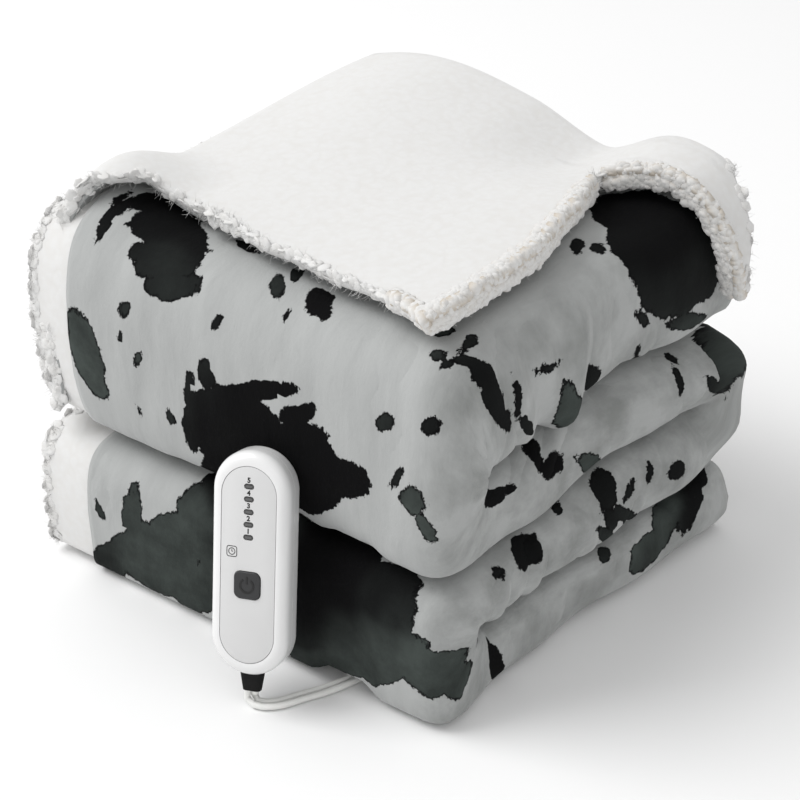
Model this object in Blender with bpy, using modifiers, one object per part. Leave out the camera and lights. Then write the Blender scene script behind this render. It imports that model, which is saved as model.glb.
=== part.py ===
"""Electric heated throw, folded into a pack, with its handset leaning on the front and its leads behind.

X runs along the folds, +X to the end with the closed folds. -Y is the front, where the cloth turns
in two large rolls, one on the other. +Z is up, and the pack stands on z = 0.
"""

import math

import bmesh
import bpy
from mathutils import Matrix, Vector

# The cloth: a plush face and a curly pile back, sewn together at the hems.
PLUSH = 0.0025
PILE = 0.0060
PILE_ROOM = 0.0075
BETWEEN_CLOTHS = 0.0005
SHARPEST = 0.25
LAYER_GAP = 0.0035
FACE_SIDE = PLUSH + BETWEEN_CLOTHS / 2
PILE_SIDE = PILE_ROOM + BETWEEN_CLOTHS / 2

# The strip is the throw folded in four across its width, and then back and forth along its length.
PILE_PITCH = 2 * PILE_SIDE + LAYER_GAP
FACE_PITCH = 2 * FACE_SIDE + LAYER_GAP
LAYER_OUT = PILE_PITCH + FACE_PITCH / 2
LAYER_IN = FACE_PITCH / 2
PLY_HALF = LAYER_OUT + FACE_SIDE
PLY_PITCH = 2 * PLY_HALF + LAYER_GAP
PLIES = 4

# The pack, before it settles.
RIGHT_EDGE_X = 0.145
DEPTH = 0.300
FRONT_FOLD_Y = -0.098
BACK_FOLD_Y = 0.097
START_Y = 0.128
TOP_END_Y = 0.134
LOOP_X = RIGHT_EDGE_X - FACE_SIDE - LAYER_OUT
INNER_FOLD_X = 0.064
STEP_START_X = 0.080
STEP_END_X = 0.116

# At the -X end the pile back stands out past the plush, most of all in the lower roll.
LEFT_EDGE_X = (-0.132, -0.126, -0.124, -0.140)
PILE_OVERHANG = (0.040, 0.042, 0.022, 0.008)
SHEET_OVERHANG = 0.003
LEFT_FOLD_X = (-0.148, -0.145, -0.134, -0.131)

# How square each big fold is, lower and upper half, from 1 for a half circle towards 0 for a box.
FOLD_SHAPE = ((0.22, 0.60), (0.75, 0.75), (0.42, 0.55))
LOOP_SHAPE = (0.40, 0.72, 0.72, 0.72)

# How it settles: the lower roll is pressed down and the upper one stands loose.
LOWER_ROLL = 0.100
UPPER_ROLL = 0.1365
LOWER_WAVE = (0.030, 16, 8, 0.0)
UPPER_WAVE = (0.015, 13, -17, 0.7)
HUMPS = (
    # height that the upper roll gains, x, reach in x, y, reach in y
    (0.027, -0.090, 0.140, 0.120, 0.240),
    (0.016, -0.140, 0.060, -0.110, 0.060),
    (-0.012, 0.055, 0.070, 0.115, 0.105),
    (0.012, 0.095, 0.055, 0.130, 0.090),
)
SEAM_DIP = 0.012
SEAM_DIP_X = 0.07
SEAM_DIP_Y = (0.02, 0.10)
END_SEAM = (0.50, 0.34)

# How far the rolls lean forward, and how the two ends of the pack spread out.
UPPER_FORWARD = 0.013
LOWER_FORWARD = 0.018
FORWARD_Y = (0.10, 0.15)
SIDEWAYS_WAVE = (0.0025, 19, 0, 1.1)
RIGHT_X = (0.05, 0.09)
LEFT_X = (-0.06, 0.08)
END_REACH = (0.004, 0.005, -0.003, 0.004)
END_SPREAD = (0.012, 0.016, 0.024, 0.000)
END_SPREAD_Y = (-0.06, 0.16)
END_PLY_REACH = 0.9
END_LONG_WAVE = (0.0030, 21, 1.9)
END_SHORT_WAVE = (0.0016, 75, 3.1)
LEFT_BULGE = 0.002
LEFT_WAVE = (0.0035, 17, 30)
LEFT_WAIST = 0.008

# The groove that the leads lie in, under the pack.
GROOVE_X = 0.082
GROOVE_SLANT = 0.010
GROOVE_LIFT = 0.0078
GROOVE_HALF = 0.0125
GROOVE_SIDE = 0.016

# The top sheet: the outer layer turned back over the pack, pile side up.
SHEET_RISE = 2 * FACE_SIDE + 1.5 * LAYER_GAP
SHEET_LEFT_X = -0.138
SHEET_LEFT_BEND = 0.020
SHEET_RIGHT_X = LOOP_X + 0.005
SHEET_RIGHT_BEND = LAYER_OUT + SHEET_RISE
SHEET_TURN_STEPS = 4
FIRST_SHARE = 0.50
SPREAD_DEPTH = 0.02
SHEET_ROWS = (
    # y, left reach, right reach, the reaches measured along the cloth from the middle
    (0.128, -0.160, 0.150),
    (0.120, -0.178, 0.163),
    (0.112, -0.194, 0.176),
    (0.104, -0.205, 0.181),
    (0.097, -0.213, 0.162),
    (0.089, -0.217, 0.132),
    (0.079, -0.222, 0.104),
    (0.066, -0.228, 0.088),
    (0.044, -0.235, 0.092),
)
SHEET_LAST_ROWS = (
    # share of the way to the front edge, left reach, right reach
    (0.22, -0.240, 0.107),
    (0.42, -0.244, 0.116),
    (0.60, -0.246, 0.123),
    (0.76, -0.246, 0.127),
    (0.89, -0.243, 0.126),
    (1.00, -0.238, 0.119),
)
FRONT_EDGE = (
    # reach, y of the front edge, both measured along the cloth
    (-0.240, -0.146),
    (-0.205, -0.143),
    (-0.175, -0.136),
    (-0.155, -0.120),
    (-0.135, -0.105),
    (-0.115, -0.098),
    (-0.095, -0.096),
    (-0.050, -0.099),
    (0.000, -0.104),
    (0.060, -0.110),
    (0.100, -0.113),
    (0.125, -0.120),
)

# The handset, about the middle of its face: x across, y up along it, z out of the face.
HANDSET_PLACE = (0.0364, -0.2020, 0.0878)
HANDSET_YAW = 17.8
HANDSET_LEAN = 15.5
HANDSET_TILT = 3.5
BODY_WIDTH = 0.047
BODY_LENGTH = 0.1314
BODY_DEPTH = 0.0205
BODY_FRONT_ROUND = 0.0064
BODY_BACK_ROUND = 0.005
PARTING_DEPTH = 0.0100
GAP = 0.00035
PANEL_WIDTH = 0.033
PANEL_LENGTH = 0.1146
PANEL_DEPTH = 0.0013
BUTTON_Y = -0.0113
BUTTON_SIDE = 0.0158
BUTTON_CORNER = 0.0038
BUTTON_PROUD = 0.0009
BUTTON_DEPTH = 0.0036
BUTTON_ROOM = 0.0062
LIGHTS = 5
LIGHT_FIRST_Y = 0.0166
LIGHT_PITCH = 0.00735
LIGHT_WIDTH = 0.0054
LIGHT_HEIGHT = 0.0026
LIGHT_PROUD = 0.0001
LIGHT_DEPTH = 0.0021

# The relief at the foot of the handset, and the two leads that leave it side by side.
RELIEF_TOP_Y = -0.057
RELIEF_NECK_Y = -0.0655
RELIEF_TIP_Y = -0.0765
RELIEF_TOP_WIDTH = 0.0140
RELIEF_TIP_WIDTH = 0.0106
RELIEF_TOP_DEPTH = 0.0090
RELIEF_TIP_DEPTH = 0.0062
LEAD = 0.0040
LEAD_PITCH = 0.0048
LEAD_ON_FLOOR = LEAD / 2 + 0.0003
LEAD_INSIDE = 0.003
LEAD_STRAIGHT = 0.001
LEAD_ROOM = 0.0005
LEAD_STEP = 0.0135
PAIR_ROUTE = (
    # x, y, z above the floor's run, direction from the mains lead to the blanket lead in degrees
    (0.0400, -0.2090, 0.0036, 60),
    (0.0450, -0.2100, 0.0002, 105),
    (0.0515, -0.2075, 0.0, 132),
    (0.0575, -0.2005, 0.0, 153),
    (0.0620, -0.1905, 0.0, 160),
    (0.0680, -0.1785, 0.0, 160),
    (0.0730, -0.1650, 0.0, 165),
    (0.0768, -0.1450, 0.0, 176),
    (0.0785, -0.0900, 0.0, 178),
    (0.0820, 0.0000, 0.0, 178),
    (0.0855, 0.0900, 0.0, 178),
    (0.0870, 0.1350, 0.0, 179),
)
MAINS_X = 0.0895
MAINS_ROUTE = (
    # x, y, z above the floor's run
    (MAINS_X, 0.1600, 0.0),
    (MAINS_X, 0.1860, 0.0),
    (MAINS_X, 0.2120, 0.0),
)
BLANKET_ROUTE = (
    # x, y, z above the floor's run
    (0.0805, 0.1530, 0.0),
    (0.0640, 0.1660, 0.0),
    (0.0350, 0.1680, 0.0),
    (-0.0050, 0.1660, 0.0),
    (-0.0300, 0.1590, 0.0015),
    (-0.0500, 0.1490, 0.0035),
)

# The connector at the hem, behind the lowest ply.
CONNECTOR_LENGTH = 0.040
CONNECTOR_WIDTH = 0.018
CONNECTOR_DEPTH = 0.013
CONNECTOR_ROUND = 0.0022
CONNECTOR_PLACE = (-0.0960, 0.1465, 0.0068)
BOOT_LENGTH = 0.020
BOOT_WIDTH = 0.0100
BOOT_TIP = 0.0068
BOOT_SIDES = 12

# The mains lead's unseen length, coiled behind the pack, and the plug on its end.
COIL_MIDDLE = 0.025
COIL_BAND = 0.0142
COIL_HEIGHT = 0.0136
COIL_ROUND = 0.002
COIL_TANGENT = COIL_MIDDLE + COIL_BAND / 2 + LEAD / 2 + GAP
COIL_PLACE = (MAINS_X - COIL_TANGENT, 0.2120)
COIL_STEPS = 24
END_ROUTE = (
    # x from the coil's middle, y from its middle, z above the floor's run
    (0.0000, COIL_TANGENT, 0.0),
    (-0.0150, COIL_TANGENT + 0.0004, 0.0008),
    (-0.0300, COIL_TANGENT + 0.0014, 0.0035),
    (-0.0440, COIL_TANGENT + 0.0018, 0.0055),
)
PLUG_LENGTH = 0.028
PLUG_WIDTH = 0.024
PLUG_DEPTH = 0.0150
PLUG_ROUND = 0.0030
PLUG_GAP_BELOW = 0.0003
BLADE_LENGTH = 0.0165
BLADE_INSIDE = 0.006
BLADE_HEIGHT = 0.0063
BLADE_THICK = 0.0015
BLADE_PITCH = 0.0127

# The middle of the pack and handset together, which the shared frame has above its origin.
MIDDLE_X = -0.00379
MIDDLE_Y = -0.03187

# Numbers of faces along each stretch.
ARC_STEPS = 14
CORNER_STEPS = 3
EDGE_STEPS = 4
TOP_LAYER_STEPS = 14
LEFT_DRAPE_STEPS = 4
RIGHT_DRAPE_STEPS = 3
LOOP_STEPS = 6
STEP_STEPS = 3
FLAT_STEPS = 3
SMALL_FOLD_STEPS = 4
RUN_STEPS = (3, 2, 2, 4)
BIG_FOLD_STEPS = 6


def smooth(t):
    t = min(max(t, 0.0), 1.0)
    return t * t * (3 - 2 * t)


def bump(distance, reach):
    """1 in the middle, falling smoothly to 0 at reach."""
    return 1 - smooth(abs(distance) / reach)


def wave(shape, a, b):
    """A wave of that shape: its size, its radians per unit of a and of b, and its phase."""
    size, by_a, by_b, *phase = shape
    return size * math.sin(by_a * a + by_b * b + sum(phase))


def mix(a, b, t):
    return a + (b - a) * t


def spread(start, end, steps):
    """Evenly spaced values from start to end, the first one left out."""
    return [mix(start, end, i / steps) for i in range(1, steps + 1)]


def section(left, overhang, fold_x, loop_shape):
    """The strip cut across, as (x, n): the seam between the two cloths, n above the strip's middle."""
    points = [(left, LAYER_OUT)]
    points += [(x, LAYER_OUT) for x in spread(left, LOOP_X, TOP_LAYER_STEPS)]
    for turn in spread(90, -90, LOOP_STEPS):
        across, up = rounded(turn, loop_shape)
        points.append((LOOP_X + LAYER_OUT * across, LAYER_OUT * up))
    for x in spread(STEP_END_X, STEP_START_X, STEP_STEPS):
        t = (x - STEP_START_X) / (STEP_END_X - STEP_START_X)
        points.append((x, mix(LAYER_IN, -LAYER_OUT, smooth(t))))
    points += [(x, LAYER_IN) for x in spread(STEP_START_X, fold_x, FLAT_STEPS)]
    for turn in spread(90, 270, SMALL_FOLD_STEPS):
        across, up = math.cos(math.radians(turn)), math.sin(math.radians(turn))
        points.append((fold_x + LAYER_IN * across, LAYER_IN * up))
    points += [(x, -LAYER_IN) for x in spread(fold_x, INNER_FOLD_X, FLAT_STEPS)]
    middle, radius = -(LAYER_IN + LAYER_OUT) / 2, PILE_PITCH / 2
    for turn in spread(90, -90, SMALL_FOLD_STEPS):
        across, up = math.cos(math.radians(turn)), math.sin(math.radians(turn))
        points.append((INNER_FOLD_X + radius * across, middle + radius * up))
    points += [(x, -LAYER_OUT) for x in spread(INNER_FOLD_X, left, FLAT_STEPS)]
    if overhang:
        hem = left - overhang
        points = [(hem, LAYER_OUT), *points, (hem, -LAYER_OUT)]
    return points


def stations():
    """The strip from its lower end to its upper one, as (kind, ply, place): a run's place is its y, a fold's
    an angle."""
    starts = (START_Y, FRONT_FOLD_Y, BACK_FOLD_Y, FRONT_FOLD_Y)
    ends = (FRONT_FOLD_Y, BACK_FOLD_Y, FRONT_FOLD_Y, TOP_END_Y)
    path = [("run", 0, START_Y)]
    for ply in range(PLIES):
        path += [("run", ply, y) for y in spread(starts[ply], ends[ply], RUN_STEPS[ply])]
        if ply < PLIES - 1:
            fold = "front" if ply % 2 == 0 else "back"
            angles = spread(-90, 90, BIG_FOLD_STEPS)[:-1]
            path += [(fold, ply, angle) for angle in angles]
            path.append(("run", ply + 1, starts[ply + 1]))
    return path


def rounded(angle, shape):
    """(across, up) on a half turn between a half circle and a box, since the rolls press flat on each other."""
    across, up = math.cos(math.radians(angle)), math.sin(math.radians(angle))
    return (
        math.copysign(abs(across) ** shape, across),
        math.copysign(abs(up) ** shape, up),
    )


def along_strip(station, n):
    """(y, z) of a point n above the strip's middle, before the pack settles."""
    kind, ply, place = station
    middle = PLY_HALF + ply * PLY_PITCH
    if kind == "run":
        return place, middle + (n if ply % 2 else -n)
    across, up = rounded(place, FOLD_SHAPE[ply][place > 0])
    if kind == "front":
        radius = PLY_PITCH / 2 + n
        return FRONT_FOLD_Y - radius * across, middle + PLY_PITCH / 2 + radius * up
    radius = PLY_PITCH / 2 - n
    return BACK_FOLD_Y + radius * across, middle + PLY_PITCH / 2 + radius * up


def end_reach(y, z):
    """How far the closed folds stand out at the +X end, a little different for each ply and along it."""
    ply = min(z / PLY_PITCH, PLIES) - 0.5
    back = smooth((y - END_SPREAD_Y[0]) / END_SPREAD_Y[1])
    ends = [reach + more * back for reach, more in zip(END_REACH, END_SPREAD)]
    reach = sum(end * bump(ply - i, END_PLY_REACH) for i, end in enumerate(ends))
    return reach + wave(END_LONG_WAVE, y, ply) + wave(END_SHORT_WAVE, y, ply)


def settle(x, y, z):
    """The pack as it lies: pressed, leaning and uneven, but flat where it rests."""
    floor = FACE_SIDE
    middle = 2 * PLY_PITCH
    top = PLIES * PLY_PITCH
    right = smooth((x - RIGHT_X[0]) / RIGHT_X[1])
    left = smooth((LEFT_X[0] - x) / LEFT_X[1])
    high = smooth(2 * z / middle - 1.5)
    x += end_reach(y, z) * right
    x -= (wave(LEFT_WAVE, y, z) + LEFT_BULGE - LEFT_WAIST * bump(z / middle - 1, 0.6)) * left
    y -= mix(LOWER_FORWARD, UPPER_FORWARD, high) * smooth((FORWARD_Y[0] - y) / FORWARD_Y[1])
    y += wave(SIDEWAYS_WAVE, x, y) * smooth(3 * z / middle - 0.5)
    dip = SEAM_DIP * smooth(x / SEAM_DIP_X) * smooth((SEAM_DIP_Y[0] - y) / SEAM_DIP_Y[1])
    lower = LOWER_ROLL * (1 + wave(LOWER_WAVE, x, y)) - dip
    upper = UPPER_ROLL * (1 + wave(UPPER_WAVE, x, y)) + dip
    for height, hump_x, reach_x, hump_y, reach_y in HUMPS:
        upper += height * bump(x - hump_x, reach_x) * bump(y - hump_y, reach_y)
    if z < middle:
        share = (z - floor) / (middle - floor)
        height = floor + (lower - floor) * share if share > 0 else z
    else:
        share = (z - middle) / (top - middle)
        seam = mix(END_SEAM[0], END_SEAM[1], right)
        warped = share * seam / 0.5 if share < 0.5 else seam + (share - 0.5) * (1 - seam) / 0.5
        height = lower + upper * warped
    groove = GROOVE_X + GROOVE_SLANT * y / DEPTH
    away = abs(x - groove) - GROOVE_HALF
    lift = GROOVE_LIFT * (1 - smooth(away / GROOVE_SIDE))
    height += lift * max(1 - height / (LOWER_ROLL + UPPER_ROLL), 0)
    return Vector((x, y, height))


def sheet_reach(reach, side):
    """(x, drop) of a place that far along the top sheet from its middle, past the end it hangs over."""
    edge, bend = (
        (SHEET_RIGHT_X, SHEET_RIGHT_BEND) if side > 0 else (-SHEET_LEFT_X, SHEET_LEFT_BEND)
    )
    past = abs(reach) - edge
    if past <= 0:
        return reach, 0
    turn = past / bend
    if turn < math.pi / 2:
        return side * (edge + bend * math.sin(turn)), bend * (1 - math.cos(turn))
    return side * (edge + bend), bend + past - bend * math.pi / 2


def sheet_row(left, right):
    """Where the top sheet's columns lie between its two reaches: close together where it bends down."""
    past = SHEET_LEFT_X - left
    bend = SHEET_LEFT_BEND * math.pi / 2 / (LEFT_DRAPE_STEPS - 1)
    hanging_steps = range(1, LEFT_DRAPE_STEPS)
    places = [SHEET_LEFT_X - min(i * bend, past * i / LEFT_DRAPE_STEPS) for i in hanging_steps]
    places = [left, *reversed(places)]
    rest = TOP_LAYER_STEPS - LEFT_DRAPE_STEPS
    hanging = smooth((right - SHEET_RIGHT_X) / 0.05)
    flat = rest - RIGHT_DRAPE_STEPS
    for i in range(rest + 1):
        even = mix(SHEET_LEFT_X, right, i / rest)
        bent = (
            mix(SHEET_LEFT_X, SHEET_RIGHT_X, i / flat)
            if i <= flat
            else mix(SHEET_RIGHT_X, right, (i - flat) / RIGHT_DRAPE_STEPS)
        )
        places.append(mix(even, bent, hanging))
    return places


def front_edge(x):
    """y of the top sheet's front edge at x, measured along the cloth."""
    x = min(max(x, FRONT_EDGE[0][0]), FRONT_EDGE[-1][0])
    for (x_0, y_0), (x_1, y_1) in zip(FRONT_EDGE, FRONT_EDGE[1:]):
        if x <= x_1:
            return mix(y_0, y_1, smooth((x - x_0) / (x_1 - x_0)))
    return FRONT_EDGE[-1][1]


def over_front(y, n):
    """(y, z) of a place at y along the cloth, n above the top ply's middle, where the front fold rounds it."""
    if y >= FRONT_FOLD_Y:
        return along_strip(("run", PLIES - 1, y), n)
    turn = math.degrees((FRONT_FOLD_Y - y) / (PLY_PITCH / 2 + LAYER_OUT)) * 0.9
    return along_strip(("front", PLIES - 2, 90 - turn), n)


def sheet_points(strip_x, overhang):
    """Rows of points of the top sheet's seam, from the fold at the back to its front edge."""
    top = along_strip(("run", PLIES - 1, 0), LAYER_OUT)[1]
    above = LAYER_OUT + SHEET_RISE
    radius = SHEET_RISE / 2

    def columns(left, right):
        return ([left - overhang] if overhang else []) + sheet_row(left, right)

    rows = []
    for turn in spread(-90, 90, SHEET_TURN_STEPS):
        share = FIRST_SHARE * smooth((turn + 90) / 180)
        y = TOP_END_Y + radius * math.cos(math.radians(turn))
        z = top + radius + radius * math.sin(math.radians(turn))
        row = [mix(a, b, share) for a, b in zip(strip_x, columns(*SHEET_ROWS[0][1:]))]
        rows.append([(x, y, z) for x in row])
    for y, left, right in SHEET_ROWS:
        share = mix(FIRST_SHARE, 1, smooth((SHEET_ROWS[0][0] - y) / SPREAD_DEPTH + 0.5))
        row = [mix(a, b, share) for a, b in zip(strip_x, columns(left, right))]
        rows.append([(x, *over_front(y, above)) for x in row])
    last_y = SHEET_ROWS[-1][0]
    for way, left, right in SHEET_LAST_ROWS:
        row = columns(left, right)
        rows.append([(x, *over_front(mix(last_y, front_edge(x), way), above)) for x in row])
    placed = []
    for row in rows:
        line = []
        for reach, y, z in row:
            x, drop = sheet_reach(reach, 1 if reach > 0 else -1)
            line.append(settle(x, y, z - drop))
        placed.append(line)
    return placed


def grid_on(mesh, rows):
    """Adds a grid of faces through rows of points, from an operator's flat grid."""
    tall, wide = len(rows) - 1, len(rows[0]) - 1
    made = bmesh.ops.create_grid(mesh, x_segments=wide, y_segments=tall, size=0.5)
    for vertex in made["verts"]:
        column = round((vertex.co.x + 0.5) * wide)
        row = round((vertex.co.y + 0.5) * tall)
        vertex.co = rows[row][column]


def by_ply(values, station):
    """A value given for each ply, changing evenly round the fold to the next ply."""
    kind, ply, place = station
    return values[ply] if kind == "run" else mix(values[ply], values[ply + 1], (place + 90) / 180)


def clear_shift(vertex):
    """The shift that takes a vertex a whole unit away from every face round it, also at a sharp crease."""
    nearest = min(vertex.normal.dot(face.normal) for face in vertex.link_faces)
    return vertex.normal / max(nearest, SHARPEST)


def cloth(name, side, thickness, overhangs, material, collection):
    """One of the two cloths, whole: the folded strip and the top sheet that goes on from its outer layer.
    side is 1 for the cloth on the plush side of the seam and -1 for the one on the pile side."""
    rows = []
    for station in stations():
        overhang = by_ply(overhangs, station)
        across = section(
            by_ply(LEFT_EDGE_X, station),
            overhang,
            by_ply(LEFT_FOLD_X, station),
            by_ply(LOOP_SHAPE, station),
        )
        rows.append([settle(x, *along_strip(station, n)) for x, n in across])
    outer = TOP_LAYER_STEPS + (2 if overhang else 1)
    strip_x = [x for x, _ in across[:outer]]
    mesh = bmesh.new()
    grid_on(mesh, rows)
    grid_on(mesh, [rows[-1][:outer]] + sheet_points(strip_x, SHEET_OVERHANG if overhang else 0))
    bmesh.ops.remove_doubles(mesh, verts=mesh.verts, dist=0.00001)
    bmesh.ops.recalc_face_normals(mesh, faces=mesh.faces)
    lowest = min(mesh.faces, key=lambda face: face.calc_center_median().z)
    if lowest.normal.z > 0:
        bmesh.ops.reverse_faces(mesh, faces=mesh.faces)
    bmesh.ops.triangulate(mesh, faces=mesh.faces, quad_method="FIXED")
    mesh.normal_update()
    for vertex, shift in [(vertex, clear_shift(vertex)) for vertex in mesh.verts]:
        vertex.co += shift * side * BETWEEN_CLOTHS / 2
    piece = add_object(name, mesh, material, collection)
    solid = piece.modifiers.new("thickness", "SOLIDIFY")
    solid.thickness = thickness
    solid.offset = side
    return piece


def add_object(name, mesh, material, collection, parent=None, place=(0, 0, 0)):
    data = bpy.data.meshes.new(name)
    mesh.to_mesh(data)
    mesh.free()
    if material:
        data.materials.append(material)
    piece = bpy.data.objects.new(name, data)
    collection.objects.link(piece)
    piece.parent = parent
    piece.location = place
    return piece


def rounded_outline(width, length, radius, steps):
    """Corners of a rounded rectangle about the origin, as (x, y)."""
    points = []
    for start, (side_x, side_y) in zip((0, 90, 180, 270), ((1, 1), (-1, 1), (-1, -1), (1, -1))):
        middle_x, middle_y = side_x * (width / 2 - radius), side_y * (length / 2 - radius)
        for i in range(steps + 1):
            turn = math.radians(start + 90 * i / steps)
            points.append((middle_x + radius * math.cos(turn), middle_y + radius * math.sin(turn)))
    return points


def slab(outline, low, high, rounding=0, rounded_z=0):
    """A flat piece of that outline between two heights, with the edge at rounded_z rounded over."""
    mesh = bmesh.new()
    face = mesh.faces.new([mesh.verts.new((x, y, low)) for x, y in outline])
    raised = bmesh.ops.extrude_face_region(mesh, geom=[face])["geom"]
    verts = [item for item in raised if isinstance(item, bmesh.types.BMVert)]
    bmesh.ops.translate(mesh, verts=verts, vec=(0, 0, high - low))
    bmesh.ops.remove_doubles(mesh, verts=mesh.verts, dist=0.00001)
    bmesh.ops.recalc_face_normals(mesh, faces=mesh.faces)
    if rounding:
        edges = [edge for edge in mesh.edges if all(abs(v.co.z - rounded_z) < GAP / 10 for v in edge.verts)]
        bmesh.ops.bevel(mesh, geom=edges, offset=rounding, segments=EDGE_STEPS, profile=0.5, affect="EDGES")
    return mesh


def box(length, width, depth, rounding=0, steps=2):
    """A box about the origin with its edges rounded."""
    mesh = bmesh.new()
    bmesh.ops.create_cube(mesh, size=1, matrix=Matrix.Diagonal((length, width, depth, 1)))
    if rounding:
        bmesh.ops.bevel(mesh, geom=mesh.edges[:], offset=rounding, segments=steps, profile=0.5, affect="EDGES")
    return mesh


def taper(width, tip, length, base, sides=BOOT_SIDES):
    """A round boot along +X from base, narrowing to its tip."""
    mesh = bmesh.new()
    turn = Matrix.Translation((base + length / 2, 0, 0)) @ Matrix.Rotation(math.radians(90), 4, "Y")
    bmesh.ops.create_cone(
        mesh, cap_ends=True, segments=sides, radius1=width / 2, radius2=tip / 2, depth=length, matrix=turn
    )
    return mesh


def cut(piece, cutter):
    """Takes the cutter's volume away from the piece."""
    boolean = piece.modifiers.new("cut_" + cutter.name, "BOOLEAN")
    boolean.operation = "DIFFERENCE"
    boolean.solver = "EXACT"
    boolean.object = cutter


def join(piece, other):
    """Adds the other volume to the piece."""
    boolean = piece.modifiers.new("join_" + other.name, "BOOLEAN")
    boolean.operation = "UNION"
    boolean.solver = "EXACT"
    boolean.object = other


def hide_cutter(cutter):
    cutter.hide_render = True
    cutter.display_type = "WIRE"
    return cutter


def relief_mesh(margin, tip_y):
    """The relief, or the room for it where margin is more than 0: a wedge that narrows below its neck."""
    mesh = bmesh.new()
    rows = (
        (RELIEF_TOP_Y + margin, RELIEF_TOP_WIDTH, RELIEF_TOP_DEPTH),
        (RELIEF_NECK_Y, RELIEF_TOP_WIDTH, RELIEF_TOP_DEPTH),
        (tip_y, RELIEF_TIP_WIDTH, RELIEF_TIP_DEPTH),
    )
    rings = []
    for y, width, depth in rows:
        outline = rounded_outline(width + 2 * margin, depth + 2 * margin, depth * 0.35, CORNER_STEPS)
        rings.append([mesh.verts.new((x, y, z - PARTING_DEPTH - GAP / 2)) for x, z in outline])
    for upper, lower in zip(rings, rings[1:]):
        for i in range(len(upper)):
            j = (i + 1) % len(upper)
            mesh.faces.new((upper[i], upper[j], lower[j], lower[i]))
    mesh.faces.new(rings[0])
    mesh.faces.new(rings[-1])
    bmesh.ops.recalc_face_normals(mesh, faces=mesh.faces)
    return mesh


def handset(finishes, collection, cutters):
    """The handset on its empty, leaning on the front of the pack."""
    stand = bpy.data.objects.new("handset", None)
    collection.objects.link(stand)
    stand.location = HANDSET_PLACE
    turn = (
        Matrix.Rotation(math.radians(HANDSET_YAW), 3, "Z")
        @ Matrix.Rotation(math.radians(90 - HANDSET_LEAN), 3, "X")
        @ Matrix.Rotation(math.radians(HANDSET_TILT), 3, "Z")
    )
    stand.rotation_euler = turn.to_euler()

    def add(name, mesh, material, place=(0, 0, 0)):
        return add_object(name, mesh, finishes[material], collection, stand, place)

    def add_cutter(name, mesh, place=(0, 0, 0)):
        return hide_cutter(add_object(name, mesh, None, cutters, stand, place))

    outline = rounded_outline(BODY_WIDTH, BODY_LENGTH, BODY_WIDTH / 2, ARC_STEPS // 2)
    front = add(
        "handset_front_shell", slab(outline, -PARTING_DEPTH, 0, BODY_FRONT_ROUND, 0), "white_plastic"
    )
    back = add(
        "handset_back_shell",
        slab(outline, -BODY_DEPTH, -PARTING_DEPTH - GAP, BODY_BACK_ROUND, -BODY_DEPTH),
        "white_plastic",
    )
    panel_line = rounded_outline(PANEL_WIDTH, PANEL_LENGTH, PANEL_WIDTH / 2, ARC_STEPS // 2)
    panel = add("handset_panel", slab(panel_line, -PANEL_DEPTH, 0), "satin_panel")
    room = rounded_outline(
        PANEL_WIDTH + 2 * GAP, PANEL_LENGTH + 2 * GAP, PANEL_WIDTH / 2 + GAP, ARC_STEPS // 2
    )
    cut(front, add_cutter("panel_room", slab(room, -PANEL_DEPTH - GAP, 0.001)))
    button_line = rounded_outline(BUTTON_SIDE, BUTTON_SIDE, BUTTON_CORNER, CORNER_STEPS)
    add("power_button", slab(button_line, -BUTTON_DEPTH, BUTTON_PROUD), "charcoal_button", (0, BUTTON_Y, 0))
    side = BUTTON_SIDE + 2 * GAP
    button_room = rounded_outline(side, side, BUTTON_CORNER + GAP, CORNER_STEPS)
    button_cutter = add_cutter("button_room", slab(button_room, -BUTTON_ROOM, 0.001), (0, BUTTON_Y, 0))
    cut(front, button_cutter)
    cut(panel, button_cutter)
    for i in range(LIGHTS):
        place = (0, LIGHT_FIRST_Y + i * LIGHT_PITCH, 0)
        pill = rounded_outline(LIGHT_WIDTH, LIGHT_HEIGHT, LIGHT_HEIGHT / 2, CORNER_STEPS)
        add(f"level_light_{i + 1}", slab(pill, -LIGHT_DEPTH, LIGHT_PROUD), "grey_light", place)
        pill_room = rounded_outline(
            LIGHT_WIDTH + 2 * GAP, LIGHT_HEIGHT + 2 * GAP, LIGHT_HEIGHT / 2 + GAP, CORNER_STEPS
        )
        light_cutter = add_cutter(f"light_room_{i + 1}", slab(pill_room, -LIGHT_DEPTH - GAP, 0.001), place)
        cut(front, light_cutter)
        cut(panel, light_cutter)
    relief = add("lead_relief", relief_mesh(0, RELIEF_TIP_Y), "black_rubber")
    relief_room = add_cutter("relief_room", relief_mesh(GAP, RELIEF_TIP_Y - 0.01))
    cut(front, relief_room)
    cut(back, relief_room)
    slot_high = LEAD + 2 * LEAD_ROOM
    slot_line = rounded_outline(LEAD_PITCH + slot_high, slot_high, slot_high / 2, CORNER_STEPS)
    slot = add_cutter("lead_slot", slab(slot_line, -LEAD_INSIDE - GAP, LEAD_INSIDE))
    slot.location = (0, RELIEF_TIP_Y, -PARTING_DEPTH - GAP / 2)
    slot.rotation_euler = (math.radians(90), 0, 0)
    cut(relief, slot)
    return Matrix.Translation(HANDSET_PLACE) @ turn.to_4x4()


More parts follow.
